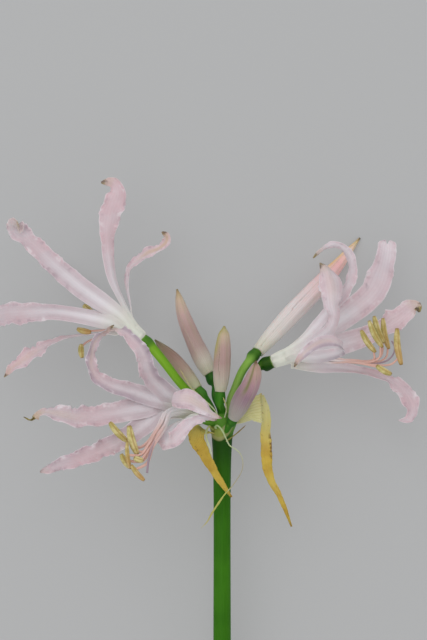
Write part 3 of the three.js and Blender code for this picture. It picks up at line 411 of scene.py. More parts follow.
upperLeft = {
    "base": [-31.5, 29.6, 4], "axis": [-0.73, 0.68, 0.08], "claw": 6, "flare": 0.2,
    "bundle": [[-38.4, 35.4, 4.4]], "spread": [1.15],
    "tepals": [
        tepal(90, [3.6, 4.6, 6.2, 7.6, 8.1, 8.2, 7.9, 7.6, 7.2, 7.2, 4.6],
            [[0, 0, -1], [0, 0.1, -1], [0.2, 0.3, -1]],
            [[-40.9, 39.2, 9], [-48, 44.3, 11], [-55.4, 49.5, 12.5], [-65.1, 57.8, 13.5], [-75.2, 67.5, 13],
            [-80, 72, 13], [-82, 74.2, 15], [-79.8, 74.4, 18]], calm=0.4, frill=0.9, cup=0.2,
            lobes=[[0.95, 1, 1.7, 0.026], [0.9, -1, 0.6, 0.03]], tone=0.4, white=0.6, dry=0.5),
        tepal(25, [3.3, 3.5, 4.2, 5, 5.4, 5.5, 5.9, 8.2, 9.2, 5.6, 2],
            [[-0.8, -0.3, -0.5], [-0.5, 0, -0.9], [0, 0, -1], [0, 0.3, -1]],
            [[-39.5, 44.4, 2], [-43, 52.4, 1.5], [-44.5, 60, 2], [-45.1, 68.7, 3], [-44.7, 75.9, 4],
            [-42.9, 82.6, 4.5], [-41.2, 87.8, 5], [-43, 91.4, 5], [-47.8, 91.6, 5]], calm=0.44, frill=0.8,
            tone=0.15, blush=0.2, white=0.15),
        tepal(325, [3.3, 3.3, 3.1, 3, 3.2, 4.2, 5.4, 5.6, 4.6, 3.6, 2],
            [[-1, -0.3, 0.2], [-0.9, 0.2, 0.5], [-0.4, 0.6, 0.8], [0, 0.4, 1]],
            [[-36.5, 43.6, -5], [-37.7, 52.5, -9], [-36.9, 57.2, -11], [-34.3, 60.2, -13],
            [-29.5, 63.9, -14], [-25, 65.7, -14], [-22.2, 68.3, -14], [-21.9, 70.6, -14],
            [-23.8, 72.4, -13]], calm=0.4, frill=0.6, tone=0, blush=0.35, gold=0.8, white=0.9),
        tepal(140, [3.6, 4.6, 6.2, 7, 6.9, 6.9, 8, 9.2, 8.6, 6.6, 2],
            [[0, -0.5, -1], [0, -0.5, -1], [0, -0.2, -1], [0, 0, -1]],
            [[-43.3, 35.4, 9], [-51.9, 37.8, 11], [-60.2, 39.4, 12], [-67.7, 40.2, 12], [-77.7, 39.8, 11],
            [-85.8, 39.2, 9], [-93.8, 37.6, 8], [-100.5, 34.8, 8]], calm=0.46, frill=1.1, tone=0.55,
            white=0.55),
        tepal(205, [3.3, 3.6, 4.4, 5, 5.4, 5.6, 6.4, 7.8, 6.8, 4.2, 1],
            [[-0.1, 1, 0.05], [-0.1, 1, 0.12], [-0.15, 0.9, 0.5], [-0.2, 0.5, 1], [-0.2, 0.4, 1]],
            [[-41.1, 31.2, 2], [-48.7, 31.4, 3], [-56.6, 30.6, 4], [-64.9, 28.8, 5], [-69.7, 26.4, 5],
            [-74.5, 23.6, 4.5], [-79.3, 20.5, 4], [-83.4, 17.6, 3], [-86.6, 14, 2.5]], calm=0.46, tone=0.2,
            blush=0.3, white=0.2, gold=0.3),
        tepal(270, [3.3, 3.8, 4.6, 5.2, 5.6, 5.8, 5.8, 5.6, 5, 3.6, 1.4], [[0, 0, 1]],
            [[-40, 37.5, -8], [-50, 45.5, -20], [-59, 52.5, -29], [-69, 60, -33], [-77, 66, -34.4]],
            frill=0.6, tone=0.3),
    ],
    "stamens": [
        stamen([[-42.4, 38.2, 4]], [-51.6, 45.2, 3], [-46.6, 41.6, 3], 0.8),
        stamen([[-42, 36, 4], [-48.3, 38.4, 3]], [-54.9, 42.9, 3], [-51.3, 40, 3], 0.8),
        stamen([[-42, 33, 4], [-46.6, 32.7, 6.4]], [-57.3, 33.3, 7.6], [-51.6, 32, 7.6], 0.7, tone=1),
        stamen([[-40.4, 33.4, 0.4], [-43.6, 32, -2.4], [-49.2, 30, -4], [-54.6, 27.4, -3.4]],
            [-56, 27.2, -2.4], [-55.6, 21.6, -2], 0.3),
        stamen([[-42, 35.6, 2], [-49, 37, 1]], [-59.4, 40.2, 3], [-54.2, 38.4, 3], 0.8),
        stamen([[-42, 37.6, 1.6], [-46, 41.4, 0]], [-54.8, 47.4, -1], [-50.6, 44, -1], 0.8),
    ],
    "style": [[-44, 35.6, 3.4], [-58, 37.6, 2], [-66, 39, 4]],
}

lowerLeft = {
    "base": [-9.5, -1.5, 10], "axis": [-0.48, 0.3, 0.82], "claw": 8, "flare": 0.9,
    "bundle": [[-20.6, 0.3, 28.6], [-23.4, -5.2, 37.2]], "spread": [1.3, 1.75], "flush": 0.1,
    "strand": 1.35,
    "tepals": [
        tepal(150, [3.8, 5.2, 7, 7.8, 7.4, 6.4, 5.6, 4.8, 4, 3, 1.2],
            [[0.3, 0.3, 1], [0.6, 0, 1], [0.6, -0.2, 1], [0.4, -0.6, 1]],
            [[-23.2, 5.4, 24], [-28.6, 6.9, 27], [-34, 8.7, 30], [-39, 10.3, 32], [-44, 11.9, 33],
            [-48.5, 15, 33.5], [-50.7, 18.9, 33], [-50.5, 23.2, 32], [-49.8, 27.1, 30.5], [-47.5, 30.6, 29],
            [-44.2, 33.1, 27.5], [-41.9, 34.8, 26.5]], calm=0.34, frill=0.9, tone=0.6, blush=0.1, gold=0.3,
            white=0.5, dusk=0.8),
        tepal(90, [3.8, 5.2, 6.8, 7.6, 7.8, 7.6, 7, 6, 5, 3.4, 1.2],
            [[0.3, -0.6, 0.8], [-0.2, -0.2, 1], [0, 0.2, 1], [0.2, 0.6, 0.7]],
            [[-20.4, 7.6, 25], [-23.4, 10.4, 29.5], [-26.2, 13.4, 34], [-28.4, 17.4, 39], [-29.6, 22.1, 43],
            [-31.9, 26.4, 45], [-35, 29.9, 44], [-38.5, 32.6, 41], [-42.7, 33.7, 37]], calm=0.36, frill=1.1,
            tone=0.4, blush=0.1, white=0.5, dusk=-1),
        tepal(190, [3.8, 5.4, 7.4, 8.6, 9.2, 8.8, 8.6, 8.4, 7, 2.8, 0.9],
            [[0, 0.2, 1], [0, 0.3, 1], [0, 0.5, 1], [0.2, 1, 0.6]],
            [[-24.8, 3.9, 24], [-29.8, 2.8, 27], [-35.6, 1.7, 29], [-43.3, 0.2, 31], [-51.1, -1, 32],
            [-57.7, -0.9, 33], [-63.5, 0.4, 33.5], [-68.5, 0.8, 33], [-72.2, -0.4, 32.4],
            [-74.4, -2.1, 31.6], [-76.9, -0.9, 31]], calm=0.4, frill=1.1, tone=0.5, blush=0.05, gold=0.3,
            white=0.5, dry=1.5),
        tepal(235, [3.8, 5.4, 7.2, 8.2, 8.4, 7.8, 7.4, 7, 6.2, 4.6, 1.8],
            [[0.1, 0.3, 1], [0, 0, 1], [0, 0, 1]],
            [[-24.7, 0.8, 25], [-29.4, -3.4, 28.5], [-35.5, -7.8, 32], [-42, -11.4, 35], [-48.9, -14.4, 37],
            [-55.9, -17, 38], [-62.5, -19.2, 38], [-67.5, -21.2, 37], [-70.3, -22.2, 36]], calm=0.36,
            frill=1.3, tone=0.55, blush=0.15, white=0.5, dry=0.35, dusk=-0.5),
        tepal(30, [3.6, 4.2, 4.6, 4.8, 4.8, 4.9, 6.2, 8.4, 7.2, 4, 1.2],
            [[-1, 0, 0.3], [-0.8, 0.2, 0.8], [0, 0.5, 1], [0.4, 0.6, 0.7]],
            [[-14.1, 5, 25], [-18, 5.6, 34], [-19, 6.3, 42], [-16.8, 6.8, 48], [-12.5, 6.7, 50.5],
            [-7.6, 3.9, 50], [-3.4, 0.8, 48], [0.3, -0.9, 45]], calm=0.5, frill=0.2, cup=-0.22, tone=0.1,
            white=0.5, gold=0.4),
        tepal(300, [3.6, 4.2, 4.6, 5.4, 6.8, 7.6, 6.8, 5.6, 4.2, 2.6, 1.2],
            [[-0.3, 0.8, 0.3], [-0.5, 0.3, 0.8], [0, -0.2, 1], [0.2, -0.2, 1]],
            [[-17, -3.5, 25], [-20, -6.5, 31], [-21.2, -8.6, 37], [-20.4, -10, 43], [-18, -9, 47.5],
            [-15.2, -5.6, 50], [-12, -2.6, 51], [-8.6, -1, 50], [-4.7, -0.9, 47], [-1.7, -1.8, 43]],
            calm=0.34, frill=0.9, tone=0, white=1.2),
    ],
    "stamens": [
        stamen([[-27, -11.9, 45]], [-33.5, -16, 49.5], [-29.9, -17.2, 48.5], 0.8),
        stamen([[-28.2, -11.1, 43], [-30.2, -14, 44.5]], [-35.5, -3.8, 45], [-32.3, -15, 45], 0.85,
            girth=1.25),
        stamen([[-28.6, -10.5, 41.4], [-31.8, -12.4, 42.5]], [-43.1, -2.6, 42], [-36.2, -10.1, 42], 0.85,
            girth=1.1),
        stamen([[-28.1, -11.3, 45.2], [-31, -15.1, 46.8]], [-36.2, -9.7, 47], [-34.9, -20.5, 47], girth=0.7,
            tone=0.8),
        stamen([[-27.2, -11.8, 42.4], [-30, -17.3, 44]], [-38.6, -14.8, 44], [-35.2, -20.2, 44]),
        stamen([[-26.4, -12.3, 45], [-28.6, -18.3, 48]], [-34.6, -18.8, 49], [-29.5, -24.8, 49], 0.3,
            girth=0.85, tone=0.9),
    ],
    "style": [[-26.7, -12.1, 46], [-28, -17.6, 50.6], [-28.4, -21.7, 52]],
}

rightBloom = {
    "base": [20.6, 20.1, -0.2], "axis": [0.92, 0.36, 0.15], "claw": 6.5, "flare": 0.3,
    "bundle": [[31.5, 22.6, 2], [43.4, 21, 5]], "spread": [1.15, 1.4],
    "tepals": [
        tepal(340, [3.4, 4.6, 6.2, 8, 9.4, 10, 10.4, 10.2, 9.2, 8.2, 7.4],
            [[0.2, -0.5, 1], [0, 0, 1], [0, 0, 1]],
            [[34.1, 27.2, -3], [40.6, 31.6, -5], [47.1, 36.4, -7], [53.6, 41.2, -9], [59.6, 46, -10],
            [63.6, 51.4, -10], [65.3, 57.2, -9], [66.4, 63, -7], [67, 69, -6]], calm=0.5, frill=0.5,
            notch=1.6, tipRound=0.02, lobes=[[0.75, 1, 1.2, 0.05], [0.81, 1, 1.3, 0.03]], tone=0, white=0.9,
            dry=0.05),
        tepal(40, [3.3, 3.8, 4.6, 5.4, 5.8, 5.8, 5.6, 5, 4, 2.4, 1.2],
            [[0.4, -0.5, -0.8], [0.7, -0.3, -0.6], [0.7, 0.3, -0.5], [0.3, 0.6, -0.7], [-0.2, 0.6, -0.8]],
            [[33.9, 30.4, 4], [41.8, 39.4, 5], [46.9, 45.2, 7], [50.4, 50.3, 9], [51.9, 55.8, 10.5],
            [51.3, 61.4, 11], [48.7, 65.1, 11], [45.2, 66.7, 11], [41.6, 65.7, 11], [38.6, 63.6, 11],
            [36.5, 61.4, 10.5]], frill=0.3, tone=0.1, white=0.4, dry=0.8),
        tepal(90, [3.3, 4, 4.6, 5, 5.2, 4.8, 4.8, 6.8, 8.4, 7, 1.8],
            [[0.2, 0, -1], [-0.2, 0, -1], [-0.5, 0.2, -1]],
            [[31.4, 24.9, 6], [38.4, 29.3, 12], [42.9, 33.4, 17], [44.6, 38.4, 20], [43.9, 43.1, 21.5],
            [43.6, 47.8, 21], [43, 52, 19], [41.5, 56.4, 17], [39.1, 59.3, 15]], calm=0.4, frill=0.6,
            cup=0.6, lobes=[[0.84, 1, 2.4, 0.08]], tone=0.05, gold=0.2),
        tepal(275, [3.3, 4.4, 6, 7.6, 8.8, 8.8, 8, 7.2, 8.6, 7, 2.4], [[0, 0, 1], [0, 0, 1], [0, 0.3, 1]],
            [[31.7, 22.8, -3], [38.2, 24.5, -5], [45.5, 26.5, -7], [52.8, 28.5, -9], [59.3, 30.8, -9.5],
            [65.7, 33.9, -9], [69.6, 36.2, -8], [73.2, 38.8, -7], [76.4, 41.4, -6], [78.7, 42.3, -5],
            [79.7, 40, -4]], calm=0.5, frill=0.8, lobes=[[0.79, 1, 1.3, 0.025], [0.92, 1, 0.8, 0.03]],
            tone=0, white=0.6, blush=0.1, dry=0.9),
        tepal(200, [3.4, 4.6, 5.6, 5.8, 5.6, 5.6, 5.8, 6, 6.4, 7.6, 7.6, 4.4, 1.2],
            [[0, 0.35, 1], [0, 0.9, 0.5], [0.05, 0.9, 0.5], [0.3, 0.35, 0.9], [0.3, 0, 1]],
            [[29.4, 17.9, -1], [38, 18.1, -2.6], [46, 18, -2.6], [54.4, 16.6, -2], [61.7, 15, -1],
            [66.8, 13, -0.5], [71.2, 10, 0], [74.3, 6.4, 1], [76.1, 2.5, 2], [76, -0.5, 3],
            [74.4, -2.8, 3.6], [70.8, -3.2, 4]], calm=0.5, frill=0.8, tone=0.3, blush=0.2, dry=0),
        tepal(140, [3.6, 5, 6, 6, 5.2, 4, 3.8, 4.4, 4.4, 3.4, 1.2],
            [[0.3, 0.5, -0.8], [1, 0.2, -0.2], [0.6, 0.2, 0.8], [0, 0.3, 1]],
            [[29, 21, 6], [35.2, 21.8, 12], [41.3, 22.8, 19], [47.3, 24.7, 26], [46.6, 27.1, 32],
            [43.7, 28.5, 36], [39.8, 28.7, 38.5], [35.9, 27.1, 40], [32.4, 24.4, 40.3], [29.7, 21.1, 39.5],
            [28.2, 18.6, 38]], frill=0.3, tone=0.15, white=0.3, gold=0.3, dusk=1),
    ],
    "stamens": [
        stamen([[52, 20.5, 8], [58.3, 19.9, 9], [62.7, 21.7, 9.5]], [58.7, 36.6, 9.5], [64.1, 25.9, 9.5],
            0.85),
        stamen([[52.4, 20.1, 9], [60.6, 19, 10.5], [67.4, 19.3, 12]], [69.7, 33.6, 12], [71.4, 19, 12],
            0.75, girth=1.1, tone=0.8),
        stamen([[51.1, 20.1, 10], [57.3, 19.2, 13]], [61.4, 18.8, 14], [67.4, 15.3, 14], 0.25),
        stamen([[52.2, 20.5, 4.5], [60.2, 19.7, 4], [65.8, 21.8, 3]], [64.6, 37.6, 3], [67, 25.2, 3], 0.85,
            tone=0.6),
        stamen([[52.1, 20.9, 6], [58.9, 20.5, 6], [63.7, 22.5, 6]], [60.9, 38.4, 6], [64.9, 27.6, 6], 0.85),
        stamen([[52.1, 20.3, 6.5], [57.6, 19.9, 7.5], [60.8, 21.1, 8]], [55.6, 32.8, 8], [61.4, 23.9, 8],
            0.85),
    ],
    "style": [[52.1, 19.7, 6], [60.8, 19.4, 7], [66, 20.6, 7], [68.6, 23.4, 7], [69, 26.4, 7],
        [67.8, 28.5, 7]],
}
blooms = {"upper_left": upperLeft, "lower_left": lowerLeft, "right": rightBloom}


def aroundAxis(axis, degrees):
    # the direction that leaves a bloom's axis at an angle around it
    front, up = np.array([0, 0, 1.0]), np.array([0, 1.0, 0])
    looksFront = abs(axis[2]) > 0.6
    u = np.array([1.0, 0, 0]) if looksFront else np.cross(front, axis)
    u = unit(u - axis * (axis @ u))
    if not looksFront and u[1] < 0:
        u = -u
    v = up if looksFront else front
    v = unit(v - axis * (v @ axis) - u * (v @ u))
    return u * math.cos(math.radians(degrees)) + v * math.sin(math.radians(degrees))


def tepalPart(bloom, shape, make):
    base, axis = np.array(bloom["base"], float), unit(bloom["axis"])
    out = aroundAxis(axis, shape["around"])
    start = base + axis * make["startHeight"] + out * (make["throatRadius"] - make["startInset"])
    claw = base + axis * bloom["claw"] + out * (make["throatRadius"] + bloom["flare"])
    places, tangents, length = evenRun([start, claw] + shape["path"], make["stations"])
    t = shares(make["stations"])
    facingFrom = make["facingFrom"]
    looks = turning(shape["facing"], (np.maximum(t[:, 0], facingFrom) - facingFrom) / (1 - facingFrom))
    normals = squareTo(tangents, unit(mix(-out, looks, step(t, *make["clawEnd"]))))

    s = np.linspace(-1, 1, make["across"])
    size, seed, calm = abs(s), shape["around"], shape["calm"]
    phase = 2 * math.pi * t * length / make["frillLength"] + np.where(s > 0, make["otherSide"], 0) + seed
    wave = (shape["frill"] * (0.75 + 0.25 * np.sin(0.41 * phase + seed))
            * step(t, calm, calm + make["frillRise"]) * (1 - step(t, make["frillStop"], 1)))
    ruffle = np.sin(2.63 * phase + 1.7 * np.sin(0.9 * phase)) * wave

    half = levels(shape["widths"], t) / 2 * (
        1 + make["edgeWave"] * wave * np.cos(phase) + make["edgeRuffle"] * ruffle)
    for place, side, rise, reach in shape["lobes"]:
        half = half + rise * np.exp(-((t - place) / reach) ** 2) * (s * side > 0)
    closing = np.maximum(t - 1 + shape["tipRound"], 0) / shape["tipRound"]
    half = half * np.sqrt(np.maximum(1 - closing ** 2, make["tipLevel"]))

    rib = np.exp(-(s * half / make["ribWidth"]) ** 2) * step(t, 0.12, 0.35) * (1 - 0.6 * t)
    height = (shape["cup"] * half * size ** 1.4 * step(t, 0.1, 0.5)
              + size ** 2.4 * make["frillHeight"] * wave * np.sin(phase)
              + size ** 5 * make["ruffleHeight"] * ruffle
              + (s * half) ** 2 / (2 * make["clawCurve"]) * (1 - step(t, 0.06, 0.3))
              - make["ribDepth"] * rib)
    notch = shape["notch"] * np.exp(-(s / make["notchWidth"]) ** 2) * step(t, 0.9, 1)
    middle = blade((places, normals, tangents), half * s, height, notch[..., None])
    thickness = mix(make["thickness"], make["edgeThickness"], size ** 3) * mix(1, make["thinning"], t)
    looks = {name: shape[name] for name in usualLook}
    return sheetPart(overTable(middle, make["thickness"] / 2), thickness, along=t, across=s,
                     seed=seed / 40, **looks)


def footPart(bloom, make):
    axis, radius, top = unit(bloom["axis"]), make["throatRadius"], make["footHeight"]
    profile = through([[-0.2, radius - 0.75], [0.3, radius - 0.35], [top, radius - 0.1],
                       [top + 1.2, radius - 0.5]])[::8]
    lobed = profile[:, 1:] * (1 + 0.04 * np.cos(6 * angles(make["footSides"])))
    return tubePart(straight(bloom["base"], axis, profile[:, 0], aroundAxis(axis, 0)), lobed,
                    along=0.02, across=0.5, seed=0.5)


def stamenParts(bloom, make, footHeight):
    axis = unit(bloom["axis"])
    base = np.array(bloom["base"], float) + axis * (footHeight + make["gap"])
    strand = make["filamentRadius"] * bloom.get("strand", 1)
    foot = straight(base, axis, [0, 0.2, 0.9, make["styleFootHeight"]], aroundAxis(axis, 0))
    widths = make["styleFoot"] * np.array([[0.8], [1], [0.95], [0.7]])
    parts = [tubePart(foot, np.repeat(widths, make["styleFootSides"], 1), along=0)]

    def stalk(ring, degrees, path, radius, tone=0):
        side = aroundAxis(axis, degrees)
        aside = side * ring
        rise = [base + axis * h + aside for h in (make["styleFootHeight"] / 2, 4)]
        bundle = [np.array(p, float) + aside * share for p, share in zip(bloom["bundle"], bloom["spread"])]
        course, t, _ = winding(rise + bundle + path, make["stations"], side)
        parts.append(tubePart(course, np.repeat(radius * mix(1.1, 0.75, t), make["sides"], 1),
                              along=t - bloom.get("flush", 0), tone=tone))

    for i, (path, low, high, hungAt, girth, tone) in enumerate(bloom["stamens"]):
        stalk(make["filamentRing"], 60 * i + 30, path + [mix(low, high, hungAt)], strand)
        bow = unit(np.cross(high - low, [0, 0, 1])) * make["antherBow"] * np.linalg.norm(high - low)
        course, t, _ = winding([low, mix(low, high, 0.5) + bow, high], make["antherStations"], [0.3, 0.2, 1])
        angle = angles(make["antherSides"])
        slit = np.exp(-(np.sin(angle) / make["slitWidth"]) ** 2)
        blunt = np.sin(math.pi * np.clip(t, 0.012, 0.988)) ** 0.38
        body = girth * make["antherRadius"] * mix(make["antherEnd"], 1, blunt)
        section = mix(1, np.cos(angle) ** 2, make["antherFlatness"]) - make["slitDepth"] * slit
        radius = body * (section + make["grainHeight"] * np.sin(9 * t + 3 * angle))
        parts.append(tubePart(course, radius, skin=1, along=t, across=slit, tone=tone))
    stalk(0, 0, bloom["style"], strand * 0.8, 1)
    return parts


def tepalSkin():
    skin = Skin("tepalFlesh")
    along, across, seed = skin.values("along across seed")
    tone, white, blush, gold, dry, dusk = [skin.value(v) for v in usualLook]
    size = abs(across)
    blotch = skin.noise(9)
    skin.colour = skin.blend(blotch.rise(0.3, 0.7), "#ebe1e6", "#e2d5db")
    skin.coat(tone, "#bcaab0")
    skin.coat(size.rise(0.4, 0.9) * along.rise(0.2, 0.6) * 0.5, "#dcc4cb")
    # the pale foot of each tepal; the same mask also makes the tepals glow faintly there, a painted light
    # that lifts the shade in the throat
    paleFootAndGlow = along.fall(0.12, 0.55)
    skin.coat(paleFootAndGlow * 0.6, "#d6d1d3")
    flow = skin.noise(14, 2, skin.grid(across * 0.9, along * 0.12, seed))
    veins = (across * 24 + flow * 5).sine() * 0.5 + 0.5
    veinMask = veins.rise(0.4, 1) * size.fall(0.7, 1)
    skin.coat(veinMask * 0.14, "#cbaab4")
    # a pale band down the midrib: partly the tepal's own white rib, partly a painted highlight along its
    # ridge; white is set higher on tepals that lie in shade, a painted lift
    channel = size.fall(0.05, 0.6) * (1 - along.rise(0.3, 0.85) * 0.85)
    skin.coat(channel * (white * 0.75 + 0.2), "#f3f0f4")
    warm = skin.noise(16, 2).rise(0.42, 0.62) * along.rise(0.35, 0.6)
    skin.coat(blush * along.rise(0.3, 0.6) * 0.55 + warm * 0.16, "#dda0a6")
    centre = size.fall(0.1, 0.7) * along.rise(0.6, 0.8)
    skin.coat(gold * centre * 0.6, "#cfae7c")
    # painted shade: the side of the limb that dusk picks is darkened towards grey lavender
    shade = (across * dusk).rise(0.05, 0.8) * along.rise(0.25, 0.5)
    skin.coat(shade * 0.6, "#a89ba9")
    pleat = skin.noise(3.4, 2)
    limb = size.rise(0.3, 0.8) * along.rise(0.35, 0.55)
    # painted shade in the crinkles of the limb as dark mauve patches, and painted highlights on their crests
    # as pale patches
    skin.coat(pleat.rise(0.54, 0.7) * limb * 0.5, "#b09aa4")
    skin.coat(pleat.fall(0.3, 0.46) * limb * 0.6, "#f2ebee")
    throat = (along + (blotch - 0.5) * 0.06).fall(0.05, 0.32)
    skin.coat(throat * 0.75, "#dfe2d2")
    # painted highlight along the thin margins, where light shows through them
    rimHighlight = size.rise(0.86, 0.97) * along.rise(0.2, 0.4)
    skin.coat(rimHighlight * 0.5, "#ece4e8")
    grit = skin.noise(1.6)
    worn = along + (grit - 0.5) * 0.045 + (dry - usualLook["dry"]) * 0.05
    skin.coat(worn.rise(0.9, 0.97) * 0.45 * dry, "#cbb28c")
    scorch = skin.blend(grit.rise(0.42, 0.6), "#9c8c48", "#4f3f1e")
    skin.coat(worn.rise(0.965, 0.985) * dry, scorch)
    fine = skin.noise(0.8)
    relief = skin.bump(veins, 0.03, skin.bump(fine, 0.04, skin.bump(pleat, 0.5)))
    # the emission is painted light: each tepal glows faintly near its foot to lift the shade in the throat
    return skin.finish(0.52 + fine * 0.12, relief, subsurface=0.5, radius=(1, 0.85, 0.87),
                       depth=0.3, specular=0.25, sheen=0.08,
                       glow=skin.blend(paleFootAndGlow * 0.11, "#000000", skin.colour))


def filamentSkin():
    skin = Skin("filamentFlesh")
    along = skin.value("along")
    skin.colour = skin.ramp(along + (skin.noise(3, 2) - 0.5) * 0.12, [
        (0.0, "#e2e0d4"), (0.3, "#eeebec"), (0.48, "#ecdedd"), (0.62, "#e4bfb6"), (1.0, "#e0b09f")])
    mauve = skin.value("tone") * along.rise(0.5, 0.8)
    skin.coat(mauve, "#a58f9b")
    return skin.finish(0.42, skin.bump(skin.noise(0.9, 2), 0.05), subsurface=0.2,
                       radius=(1, 0.8, 0.75), depth=0.4)


def antherSkin():
    skin = Skin("antherPollen")
    slit, along, tone = skin.values("across along tone")
    grain = skin.noise(0.35, 2)
    patch = skin.noise(2.4)
    skin.colour = skin.blend(patch.rise(0.4, 0.6), "#b9ae66", "#e0d69a")
    skin.coat(tone * (0.35 + along.rise(0.3, 0.75) * 0.6), "#c89a62")
    skin.coat(grain.rise(0.45, 0.7) * 0.5, "#d2c78f")
    skin.coat(slit.rise(0.35, 0.9) * 0.6, "#ae8449")
    ends = abs(along - 0.5).rise(0.42, 0.5)
    skin.coat(ends * 0.6, "#8d6a36")
    return skin.finish(0.85, skin.bump(grain, 0.12), specular=0.15, sheen=0.1)


tepalFlesh = tepalSkin()
filamentFlesh = filamentSkin()
antherPollen = antherSkin()
for side, bloom in blooms.items():
    tepals = [tepalPart(bloom, shape, tepalMake) for shape in bloom["tepals"]]
    makePiece("bloomTepals_" + side, tepals + [footPart(bloom, tepalMake)], [tepalFlesh],
              "tepals_" + side)
    makePiece("bloomStamens_" + side, stamenParts(bloom, stamenMake, tepalMake["footHeight"]),
              [filamentFlesh, antherPollen], "stamens_" + side)
print("open blooms made")


# Buds. A stripe has its angle, its reach, where it sets in along the bud, and a colour.

closedProfile = [0.66, 0.84, 0.94, 1, 1, 0.97, 0.86, 0.66, 0.4, 0.1]
buds = {
    "tall": {
        "path": [[-4.5, 15.3, -7.6], [-10.7, 27.8, -10], [-15.2, 38.9, -12.4], [-17.8, 49.3, -14.6]],
        "radius": 3.65, "turn": 0.4, "profile": [0.76, 0.96, 1, 0.94, 0.88, 0.84, 0.77, 0.64, 0.42, 0.1],
        "stripe": (1.5, 0.35, 0.6, 0.9, "#c9bd8e"), "shades": [(0, "#d3d2b8"), (0.13, "#d8d1c2"),
        (0.3, "#bda39c"), (0.5, "#ba9c96"), (0.7, "#cdaea8"), (0.86, "#d9c2a8"), (0.95, "#c9ae7e"),
        (1, "#6f6a45")]},
    "middle": {
        "path": [[-0.2, 8.3, 3], [0.4, 20.5, 4], [1.3, 34.4, 5]], "radius": 3.4, "turn": 2.4,
        "profile": [0.66, 0.84, 0.94, 1, 1, 0.98, 0.91, 0.79, 0.6, 0.12],
        "stripe": (-1.3, 0.6, 0.4, 0.7, "#b5b062"), "shades": [(0, "#d3d2b6"), (0.2, "#cfc4b4"),
        (0.45, "#bb9c95"), (0.66, "#c0a09a"), (0.84, "#d2bda4"), (0.94, "#c6ba86"), (1, "#b0a860")]},
    "leaning": {
        "path": [[-9.4, 9.2, -2.4], [-17.8, 19, -6], [-26.6, 28.8, -11]], "radius": 3.3, "turn": 1.2,
        "stripe": (1.3, 0.3, 0.7, 0.9, "#7f8a4c"), "shades": [(0, "#cfd0aa"), (0.16, "#c3bc9e"),
        (0.34, "#b59b8c"), (0.6, "#9f7f73"), (0.84, "#8e7b5e"), (1, "#6f6c40")]},
    "front": {
        "path": [[4.9, -2.3, 6.7], [8.7, 5.8, 11.2], [11.7, 11, 15], [13.3, 16, 18.8], [13.7, 20.6, 22.4]],
        "radius": 3.85, "turn": 3.4, "profile": [0.6, 0.84, 0.97, 1, 0.98, 0.93, 0.85, 0.72, 0.48, 0.1],
        "stripe": (-0.35, 0.2, 0.4, 0.6, "#7c8044"), "shades": [(0, "#b9b6ac"), (0.2, "#aba09e"),
        (0.42, "#9f808e"), (0.68, "#bd979e"), (0.86, "#cbaa9d"), (0.95, "#c0a08c"), (1, "#6f4c2a")]},
    "opening": {
        "path": [[14.7, 24.1, -4.3], [27.5, 38, -14], [37.9, 48.6, -21.5], [47.9, 59.3, -28.6],
        [53, 65.5, -31.8], [57.2, 70.5, -34]], "radius": 3.9, "turn": 0.2, "open": True,
        "stripe": (-1.1, 0.45, 0.6, 0.75, "#efcb8c"), "shades": [(0, "#dfe0cc"), (0.14, "#ece8e1"),
        (0.36, "#f2e7e6"), (0.6, "#f1d3d4"), (0.78, "#ffc6c4"), (0.88, "#ffe2cf"), (0.955, "#ecd09a"),
        (0.985, "#7a6c3c"), (1, "#4a4a2a")]},
}
budMake = {
    "stations": 90, "sides": 60, "twist": 0.35, "seamHeight": 0.04, "seamWidth": 0.07, "ribDepth": 0.02,
    "closedFrom": 0.02, "openFrom": 0.35, "lapRise": 0.25,
}


def budPart(shape, make):
    course, t, _ = winding(shape["path"], make["stations"], [0.1, 0.1, 1])
    angle = angles(make["sides"])
    # three outer tepals lie one over the next, each with its free edge along the bud
    lap = (3 * (angle + shape["turn"] + make["twist"] * t) / (2 * math.pi)) % 1
    start = make["openFrom"] if shape.get("open") else make["closedFrom"]
    loose = step(t, start, start + make["lapRise"])
    laps = make["seamHeight"] * loose * (1 - step(t, 0.9, 1)) * (lap - 0.5)
    ribs = make["ribDepth"] * step(t, 0.05, 0.3) * np.cos(6 * math.pi * lap)
    radius = shape["radius"] * levels(shape.get("profile", closedProfile), t) * (1 + laps + ribs)
    seam = np.exp(-(np.minimum(lap, 1 - lap) / make["seamWidth"]) ** 2) * loose
    side, reach, low, high, _ = shape["stripe"]
    away = (angle - side + math.pi) % (2 * math.pi) - math.pi
    stripe = np.exp(-(away / reach) ** 2) * step(t, low, high)
    return tubePart(course, radius, along=t, across=lap, seam=seam, stripe=stripe)


def budSkin(name, shape):
    skin = Skin(name)
    along, lap, seam = skin.values("along across seam")
    blotch = skin.noise(7)
    skin.colour = skin.ramp(along + (blotch - 0.5) * 0.1, shape["shades"])
    flow = skin.noise(10, 2, skin.grid(lap * 0.02, along * 0.02))
    veins = (lap * 62 + flow * 3).sine() * 0.5 + 0.5
    skin.coat(veins * 0.16, "#a07a7e" if not shape.get("open") else "#d49a9c")
    edge = seam.rise(0.35, 0.95)
    skin.coat(edge * 0.2, "#d0c6b0")
    keel = abs(lap - 0.5).fall(0.02, 0.2)
    skin.coat(keel * along.rise(0.2, 0.5) * 0.22, "#a9a684")
    if "stripe" in shape:
        skin.coat(skin.value("stripe") * 0.85, shape["stripe"][-1])
    fine = skin.noise(0.7)
    return skin.finish(0.45 + fine * 0.15, skin.bump(veins, 0.06, skin.bump(fine, 0.05)),
                       subsurface=0.3, radius=(1, 0.6, 0.55), depth=1.4, specular=0.35, sheen=0.1)


for name, shape in buds.items():
    slot = "opening_bud_flesh" if name == "opening" else "bud_flesh"
    makePiece("bud_" + name + "_flesh", [budPart(shape, budMake)],
              [budSkin("bud" + name.title() + "Flesh", shape)], "bud_" + name)
print("buds made")


# Scape and receptacle

